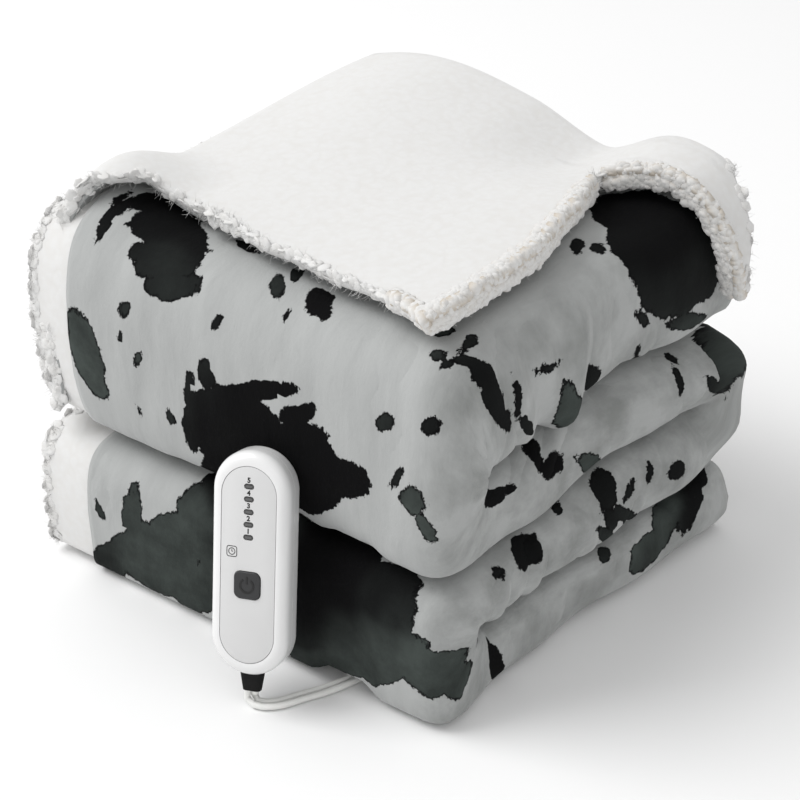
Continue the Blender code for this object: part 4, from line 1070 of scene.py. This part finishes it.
CREASES = (
    # from u, v to u, v, half width and depth in millimetres
    (279, 1066, 307, 1094, 8, 5),
    (279, 1095, 305, 1128, 9, 5.5),
    (282, 1128, 327, 1128, 11, 7.5),
    (286, 1175, 305, 1213, 9, 4),
    (274, 1024, 290, 1010, 6, 2.5),
    (265, 1073, 279, 1071, 12, 1.5),
    (266, 1123, 279, 1130, 14, 1.5),
    (308, 781, 294, 806, 6, 3.5),
    (306, 739, 281, 736, 8, 3),
    (311, 680, 283, 666, 9, 3),
    (311, 821, 299, 842, 6, 2.5),
    (274, 459, 319, 459, 7, 5),
    (285, 509, 330, 509, 7, 4),
    (282, 424, 327, 424, 7, 4.5),
    (294, 555, 339, 555, 7, 3.5),
    (268, 501, 285, 496, 8, 2),
    (287, 177, 332, 177, 8, 3),
    (292, 219, 337, 219, 7, 2.5),
    (292, 133, 337, 133, 7, 2.5),
    (291, 72, 336, 72, 7, 2.5),
    (271, 1003, 283, 908, 3, 1),
    (266, 992, 273, 927, 2.5, 0.8),
    (283, 989, 328, 989, 3, 1),
    (260, 577, 277, 570, 8, 2.5),
    (267, 627, 285, 626, 7, 2),
    (27, 1026, 27, 972, 12, 1),
    (163, 1014, 191, 967, 16, 1.2),
    (230, 1024, 235, 980, 14, 1),
    (9, 376, 8, 322, 10, 1.2),
    (256, 381, 274, 347, 9, 1.5),
    (217, 382, 250, 347, 12, 1.2),
)
SEEDED_ELLIPSES, SEEDED_OVER = 480, (1.05, 1.63)
LARGE_SHARE, LARGE_PARTS, LARGE_SIZE, SMALL_SIZE, NARROWING = 0.45, 5, (0.010, 0.024), (0.003, 0.006), (0.4, 0.8)
IN_VIEW = (
    # where the table above holds the whole print: u from, to, v from, to
    (-0.02, 0.345, 0.26, 0.47),
    (-0.02, 0.345, 0.87, 1.11),
    (0.235, 0.345, -0.02, 1.40),
    (-0.02, 0.40, 1.36, 1.65),
)


def printed(piece):
    """Marks each face with the three patches of the print that reach deepest there, as the place inside the patch
    and its size, and each point with how grey the print is."""
    data = piece.data
    draw = random.Random(11)
    rows = [(u / 1000, v / 1000, a / 1000, b / 1000, math.radians(t), tone) for u, v, a, b, t, tone in PATCHES]
    while len(rows) < len(PATCHES) + SEEDED_ELLIPSES:
        u, v = draw.uniform(0, SEEDED_OVER[0]), draw.uniform(0, SEEDED_OVER[1])
        if any(left < u < right and low < v < high for left, right, low, high in IN_VIEW):
            continue
        large = draw.random() < LARGE_SHARE
        tone = draw.random()
        for _ in range(LARGE_PARTS if large else 1):
            size = draw.uniform(*(LARGE_SIZE if large else SMALL_SIZE))
            away = size if large else 0
            place = (u + draw.gauss(0, away), v + draw.gauss(0, away))
            rows.append((*place, size, size * draw.uniform(*NARROWING), draw.uniform(0, math.pi), tone))
    rows = numpy.array(rows)
    spots = numpy.empty(len(data.loops) * 2)
    data.uv_layers["cloth"].data.foreach_get("uv", spots)
    spots = spots.reshape(-1, 2)
    corners = numpy.empty(len(data.loops), int)
    data.loops.foreach_get("vertex_index", corners)
    starts = numpy.empty(len(data.polygons), int)
    counts = numpy.empty(len(data.polygons), int)
    data.polygons.foreach_get("loop_start", starts)
    data.polygons.foreach_get("loop_total", counts)
    middles = numpy.add.reduceat(spots, starts) / counts[:, None]

    def inside(places, row):
        along = places - row[..., :2]
        c, s = numpy.cos(row[..., 4]), numpy.sin(row[..., 4])
        x = (along[..., 0] * c + along[..., 1] * s) / row[..., 2]
        y = (along[..., 1] * c - along[..., 0] * s) / row[..., 3]
        return x, y, numpy.sqrt(row[..., 2] * row[..., 3])

    depth = numpy.empty((len(rows), len(middles)))
    for i, row in enumerate(rows):
        x, y, size = inside(middles, row)
        depth[i] = (1 - numpy.hypot(x, y)) * size
    order = numpy.argsort(-depth, axis=0)[:3]
    weight = numpy.exp(numpy.clip(depth, -0.05, 0.03) / 0.003)
    grey = (weight * rows[:, 5:6]).sum(axis=0) / weight.sum(axis=0)
    for i, name in enumerate(("patch_a", "patch_b", "patch_c")):
        which = numpy.repeat(order[i], counts)
        x, y, size = inside(spots, rows[which])
        layer = data.attributes.new(name, "FLOAT_VECTOR", "CORNER")
        layer.data.foreach_set("vector", numpy.stack([x, y, size], axis=1).ravel())
    total, number = numpy.zeros(len(data.vertices)), numpy.zeros(len(data.vertices))
    numpy.add.at(total, corners, numpy.repeat(grey, counts))
    numpy.add.at(number, corners, 1)
    layer = data.attributes.new("grey", "FLOAT", "POINT")
    layer.data.foreach_set("value", total / numpy.maximum(number, 1))


def creased(piece):
    """Presses the creases into the cloth, and small soft waves between them."""
    data = piece.data
    spots = numpy.empty(len(data.loops) * 2)
    data.uv_layers["cloth"].data.foreach_get("uv", spots)
    corners = numpy.empty(len(data.loops), int)
    data.loops.foreach_get("vertex_index", corners)
    places = numpy.zeros((len(data.vertices), 2))
    places[corners] = spots.reshape(-1, 2)
    depth = numpy.zeros(len(places))
    for row in CREASES:
        start, end = numpy.array(row[0:2]) / 1000, numpy.array(row[2:4]) / 1000
        way = end - start
        share = numpy.clip((places - start) @ way / (way @ way), 0, 1)
        away = numpy.linalg.norm(places - start - share[:, None] * way, axis=1)
        depth += row[5] / 1000 * numpy.exp(-((away * 1000 / row[4]) ** 2))
    moved = []
    for vertex, deep in zip(data.vertices, depth):
        soft = noise.noise(vertex.co * 24) * 0.0012 + noise.noise(vertex.co * 70) * 0.0005
        moved.append(vertex.co + vertex.normal * (soft * (vertex.co.z > 0.015) - deep))
    for vertex, place in zip(data.vertices, moved):
        vertex.co = place


def math_node(tree, operation, *values, **settings):
    """A math node's output, from numbers or other outputs."""
    made = tree.nodes.new("ShaderNodeMath")
    made.operation = operation
    for key, value in settings.items():
        setattr(made, key, value)
    for socket, value in zip(made.inputs, values):
        if isinstance(value, bpy.types.NodeSocket):
            tree.links.new(value, socket)
        else:
            socket.default_value = value
    return made.outputs[0]


def stretched(tree, start, scale, **settings):
    """A noise on the UV map, stretched by that scale."""
    place = node(tree, "Mapping", {"Vector": start, "Scale": scale})
    return node(tree, "TexNoise", {"Vector": place.outputs[0], "Scale": 1.0, **settings}).outputs[0]


def between(tree, value, low, high):
    """How far a value is on its way from low to high, from 0 to 1."""
    return node(tree, "MapRange", {"Value": value, "From Min": low, "From Max": high}).outputs[0]


def mixed(tree, share, first, second):
    """A colour between two, which may be colours or outputs."""
    return node(tree, "MixRGB", {"Fac": share, "Color1": first, "Color2": second}).outputs[0]


def plush_material():
    """Light grey plush with the print on it: black patches, some with a grey-green inside, and painted shade in
    blotches on the right end of the pack.
    """
    material, tree, shader = shader_of("printed_plush", 0.85, (0.4, 0.4, 0.4))
    uv = node(tree, "UVMap", uv_map="cloth").outputs[0]
    depths = []
    for name in ("patch_a", "patch_b", "patch_c"):
        patch = node(tree, "Attribute", attribute_name=name).outputs["Vector"]
        parts = node(tree, "SeparateXYZ", {"Vector": patch}).outputs
        square_x = math_node(tree, "MULTIPLY", parts[0], parts[0])
        square_y = math_node(tree, "MULTIPLY", parts[1], parts[1])
        away = math_node(tree, "SQRT", math_node(tree, "ADD", square_x, square_y))
        depths.append(math_node(tree, "MULTIPLY", math_node(tree, "SUBTRACT", 1.0, away), parts[2]))
    depth = math_node(tree, "SMOOTH_MAX", depths[0], depths[1], 0.002)
    depth = math_node(tree, "SMOOTH_MAX", depth, depths[2], 0.002)
    wander = math_node(tree, "SUBTRACT", stretched(tree, uv, (90, 90, 1), Detail=1.0), 0.5)
    ragged = math_node(tree, "SUBTRACT", stretched(tree, uv, (420, 260, 1), Detail=3.0, Roughness=0.7), 0.5)
    depth = math_node(tree, "MULTIPLY_ADD", wander, 0.0080, depth)
    edge = math_node(tree, "MULTIPLY_ADD", ragged, 0.0060, depth)
    fibre = stretched(tree, uv, (900, 420, 1), Detail=3.0, Roughness=0.7)
    edge = math_node(tree, "ADD", edge, math_node(tree, "MULTIPLY_ADD", fibre, 0.0036, -0.0018))
    mask = between(tree, edge, -0.00015, 0.00035)
    rim = between(tree, edge, 0.0008, 0.0022)
    grey = node(tree, "Attribute", attribute_name="grey").outputs["Fac"]
    cloud = stretched(tree, uv, (28, 28, 1), Detail=5.0, Roughness=0.65)
    mottle = between(tree, cloud, 0.35, 0.65)
    lift = math_node(tree, "MULTIPLY", math_node(tree, "MULTIPLY_ADD", mottle, 0.5, 0.5), rim)
    lift = math_node(tree, "MULTIPLY", lift, math_node(tree, "POWER", grey, 1.5))
    dark = mixed(tree, lift, (0.004, 0.004, 0.0043, 1), (0.062, 0.073, 0.068, 1))
    brush = stretched(tree, uv, (60, 14, 1), Detail=4.0, Roughness=0.6)
    light = two_tone(tree, brush, (0.350, 0.358, 0.355), (0.400, 0.409, 0.405), (0.3, 0.7))
    # Painted shade: past x 0.125 the right end of the pack darkens in noise blotches towards a dark grey, for the
    # shade in its folds.
    place = node(tree, "SeparateXYZ", {"Vector": node(tree, "TexCoord").outputs["Object"]}).outputs["X"]
    right_end_shade = between(tree, place, 0.125, 0.150)
    shade_blotches = stretched(tree, uv, (34, 26, 1), Detail=5.0, Roughness=0.6)
    shaded = math_node(tree, "MULTIPLY", between(tree, shade_blotches, 0.40, 0.66), math_node(tree, "MULTIPLY", right_end_shade, 0.62))
    ground = mixed(tree, shaded, light, (0.16, 0.168, 0.16, 1))
    dress(tree, shader, mixed(tree, mask, ground, dark))
    sheen = node(tree, "MapRange", {"Value": mask, "To Min": 0.25, "To Max": 0.0}).outputs[0]
    tree.links.new(sheen, shader.inputs["Sheen Weight"])
    shader.inputs["Sheen Roughness"].default_value = 0.45
    shader.inputs["Specular IOR Level"].default_value = 0.05
    nap = stretched(tree, uv, (160, 60, 1), Detail=3.0, Roughness=0.6)
    fine = node(tree, "Bump", {"Height": fibre, "Strength": 0.35, "Distance": 0.0006})
    soft = node(tree, "Bump", {"Height": nap, "Strength": 0.45, "Distance": 0.0015, "Normal": fine.outputs[0]})
    tree.links.new(soft.outputs[0], shader.inputs["Normal"])
    return material


def fleece_material():
    """White curly pile: soft lumps with fine strands on them, painted shade in the crevices between the lumps, and a
    painted warm shade at the feet of the tufts.
    """
    material, tree, shader = shader_of("curly_pile", 0.95, (0.84, 0.83, 0.82))
    place = node(tree, "TexCoord").outputs["Object"]
    swirl = node(tree, "TexNoise", {"Vector": place, "Scale": 90.0, "Detail": 2.0})
    moved = node(tree, "VectorMath", {0: swirl.outputs["Color"]}, operation="SCALE")
    moved.inputs["Scale"].default_value = 0.008
    bent = node(tree, "VectorMath", {0: place, 1: moved.outputs[0]}, operation="ADD").outputs[0]
    lumps = node(tree, "TexVoronoi", {"Vector": bent, "Scale": 210.0}, feature="SMOOTH_F1")
    strands = node(tree, "TexNoise", {"Vector": bent, "Scale": 900.0, "Detail": 3.0})
    # Painted shade: the colour darkens and warms from the middle of each lump to the crevices between lumps.
    tone = two_tone(tree, lumps.outputs["Distance"], (0.665, 0.663, 0.656), (0.640, 0.632, 0.617), (0.25, 0.75))
    foot = node(tree, "Attribute", attribute_name="foot").outputs["Fac"]
    # Painted shade: where the foot attribute is set, the colour goes to a warm brown, for the shade at the feet of
    # the tufts.
    dress(tree, shader, mixed(tree, foot, tone, (0.50, 0.43, 0.34, 1)))
    shader.inputs["Sheen Weight"].default_value = 0.3
    shader.inputs["Sheen Roughness"].default_value = 0.6
    fine = node(tree, "Bump", {"Height": strands.outputs[0], "Strength": 0.15, "Distance": 0.0005})
    lumpy = {"Height": lumps.outputs["Distance"], "Strength": 0.16, "Distance": 0.0012, "Normal": fine.outputs[0]}
    tree.links.new(node(tree, "Bump", lumpy, invert=True).outputs[0], shader.inputs["Normal"])
    return material


fleece_white = fleece_material()
plush = cloth(
    "printed_plush_face", 1, PLUSH, (0, 0, 0, 0), -0.002, 0.97,
    (0, 72, 20, 3, 3, 4, 20), (46, 42, 42, 58), (36, 20, 36), (8, 30, 40), plush_material(),
)
creased(plush)
printed(plush)
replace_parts(plush, "plush_face")
pile = cloth(
    "curly_pile_back", -1, PILE, PILE_OVERHANG, SHEET_OVERHANG, 1,
    (8, 100, 8, 2, 2, 4, 12), (8, 8, 8, 10), (10, 8, 10), (6, 44, 60), fleece_white,
)
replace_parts(pile, "pile_back")

# Hems of the pile back. Soft polyester curls clump into small leaning tufts along the hems that show, low ones
# on the left and along the front and full ones where the top sheet hangs down on the right, and loose fibres
# stand off them. Elsewhere the pile is drawn by its finish.
OPEN_AIR, FACE_LIFT = 0.030, 0.0008
RIM_TURN = 0.5
UPPER_Z, LEFT_X_END = 0.17, -0.10
HEM_REACH, ROLLED_OVER, HEM_TURN, LOWEST_TUFT = 0.0055, 1.6, 0.9, 0.007
FULL_X, FULL_Y = 0.095, 0.137


def outside(piece, blockers, reach):
    """The faces of a piece that have open air over them."""
    trees = []
    for blocker in blockers:
        data = blocker.data
        trees.append(BVHTree.FromPolygons([v.co for v in data.vertices], [p.vertices for p in data.polygons]))
    found = []
    for face in piece.data.polygons:
        start = face.center + face.normal * FACE_LIFT
        if all(tree.ray_cast(start, face.normal, reach)[0] is None for tree in trees):
            found.append(face)
    return found


def scattered(piece, faces, weights, number, seed):
    """That many points on the faces, as (place, normal)."""
    draw = random.Random(seed)
    points = []
    for face in draw.choices(faces, weights=weights, k=number):
        corners = [piece.data.vertices[i].co for i in face.vertices]
        a, b = draw.random(), draw.random()
        if len(corners) == 3:
            a, b = (a, b) if a + b < 1 else (1 - a, 1 - b)
            spot = corners[0] + (corners[1] - corners[0]) * a + (corners[2] - corners[0]) * b
        else:
            low, high = corners[0].lerp(corners[1], a), corners[3].lerp(corners[2], a)
            spot = low.lerp(high, b)
        points.append((spot, face.normal.copy()))
    return points


def tufts(name, points, seed, radii, heights, foot_shade, material):
    """Low leaning domes, each on a foot sunk in the cloth: foot radius and height ranges in metres, and how
    strong the painted warm shade at the foot is."""
    draw = random.Random(seed)
    sides = 6
    verts, faces, feet = [], [], []
    for spot, normal in points:
        radius, height = draw.uniform(*radii), draw.uniform(*heights)
        side = normal.cross(Vector((draw.gauss(0, 1), draw.gauss(0, 1), draw.gauss(0, 1)))).normalized()
        across = normal.cross(side) * draw.uniform(0.6, 1.1)
        lean = side * draw.uniform(0.1, 0.7) * radius
        first = len(verts)
        for share, wide, foot in ((-0.35, 1.0, 1.0), (0.35, 0.93, 0.45), (0.78, 0.62, 0.1)):
            middle = spot + normal * height * share + lean * max(share, 0)
            for k in range(sides):
                turned = 2 * math.pi * k / sides
                out = side * math.cos(turned) + across * math.sin(turned)
                verts.append(middle + out * radius * wide)
                feet.append(foot * foot_shade)
        verts.append(spot + normal * height + lean)
        feet.append(0.0)
        for k in range(sides):
            j = (k + 1) % sides
            for low in (first, first + sides):
                faces.append((low + k, low + j, low + sides + j, low + sides + k))
            faces.append((first + 2 * sides + k, first + 2 * sides + j, first + 3 * sides))
        faces.append(tuple(first + k for k in reversed(range(sides))))
    piece = from_lists(name, verts, faces, material)
    piece.data.attributes.new("foot", "FLOAT", "POINT").data.foreach_set("value", feet)
    return piece


def fibres(name, points, seed, lengths, radii, material):
    """Thin tapered fibres, three-sided, each bent over in a direction of its own."""
    draw = random.Random(seed)
    sides, rings = 3, 2
    verts, faces = [], []
    for spot, normal in points:
        length, radius = draw.uniform(*lengths), draw.uniform(*radii)
        bend = math.radians(draw.uniform(20, 120))
        side = normal.cross(Vector((draw.gauss(0, 1), draw.gauss(0, 1), draw.gauss(0, 1)))).normalized()
        across = normal.cross(side)
        first = len(verts)
        for ring in range(rings + 1):
            angle = bend * ring / rings
            middle = spot + (normal * math.sin(angle) + side * (1 - math.cos(angle))) * length / bend
            away = side * math.cos(angle) - normal * math.sin(angle)
            thick = radius * (1 - 0.7 * ring / rings)
            for k in range(sides):
                turned = 2 * math.pi * k / sides
                verts.append(middle + (away * math.cos(turned) + across * math.sin(turned)) * thick)
            if ring:
                low, high = first + (ring - 1) * sides, first + ring * sides
                for k in range(sides):
                    j = (k + 1) % sides
                    faces.append((low + k, low + j, high + j, high + k))
        faces.append(tuple(first + k for k in reversed(range(sides))))
        faces.append(tuple(first + rings * sides + k for k in range(sides)))
    return from_lists(name, verts, faces, material)


def from_lists(name, verts, faces, material):
    data = bpy.data.meshes.new(name)
    data.from_pydata(verts, [], faces)
    data.materials.append(material)
    data.shade_smooth()
    piece = bpy.data.objects.new(name, data)
    scene.collection.objects.link(piece)
    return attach(piece, "throw")


shown = outside(pile, (pile, plush), OPEN_AIR)
edge_faces = {}
for face in pile.data.polygons:
    for key in face.edge_keys:
        edge_faces.setdefault(key, []).append(face.normal)
at_rim = set()
for key, normals in edge_faces.items():
    if len(normals) == 2 and normals[0].dot(normals[1]) < RIM_TURN:
        at_rim.update(key)
rims = [
    face
    for face in shown
    if at_rim.intersection(face.vertices) and (face.center.z > UPPER_Z or face.center.x < LEFT_X_END)
]
seam = BVHTree.FromPolygons([v.co for v in plush.data.vertices], [p.vertices for p in plush.data.polygons])


def rolled(points, seed):
    """Points moved towards the plush face near them, so that the pile rolls over the hem."""
    draw = random.Random(seed)
    moved = []
    for spot, normal in points:
        place = seam.find_nearest(spot, HEM_REACH)[0]
        if place is not None:
            way = place - spot
            spot = spot + way * draw.uniform(0, ROLLED_OVER)
            normal = (normal + way.normalized() * draw.uniform(0, HEM_TURN)).normalized()
        if spot.z > LOWEST_TUFT:
            moved.append((spot, normal))
    return moved


def full(face):
    """Whether a face is where the top sheet's hem hangs down on the right."""
    return face.center.x > FULL_X and face.center.y < FULL_Y


# Painted shade: the full tufts under the hanging sheet are tinted warm brown at their feet, for the shade between
# them; the low ones get none.
for name, faces, number, seed, radii, heights, foot_shade in (
    ("hem_tufts", [face for face in rims if not full(face)], 4200, 7, (0.0030, 0.0050), (0.0005, 0.0011), 0.0),
    ("deep_hem_tufts", [face for face in rims if full(face)], 4200, 17, (0.0030, 0.0056), (0.0022, 0.0050), 0.9),
):
    points = rolled(scattered(pile, faces, [face.area for face in faces], number, seed), seed + 1)
    tufts(name, points, seed + 2, radii, heights, foot_shade, fleece_white)
points = rolled(scattered(pile, rims, [face.area for face in rims], 9000, 8), 9)
fibres("hem_fibres", points, 10, (0.0035, 0.0075), (0.00010, 0.00020), fleece_white)
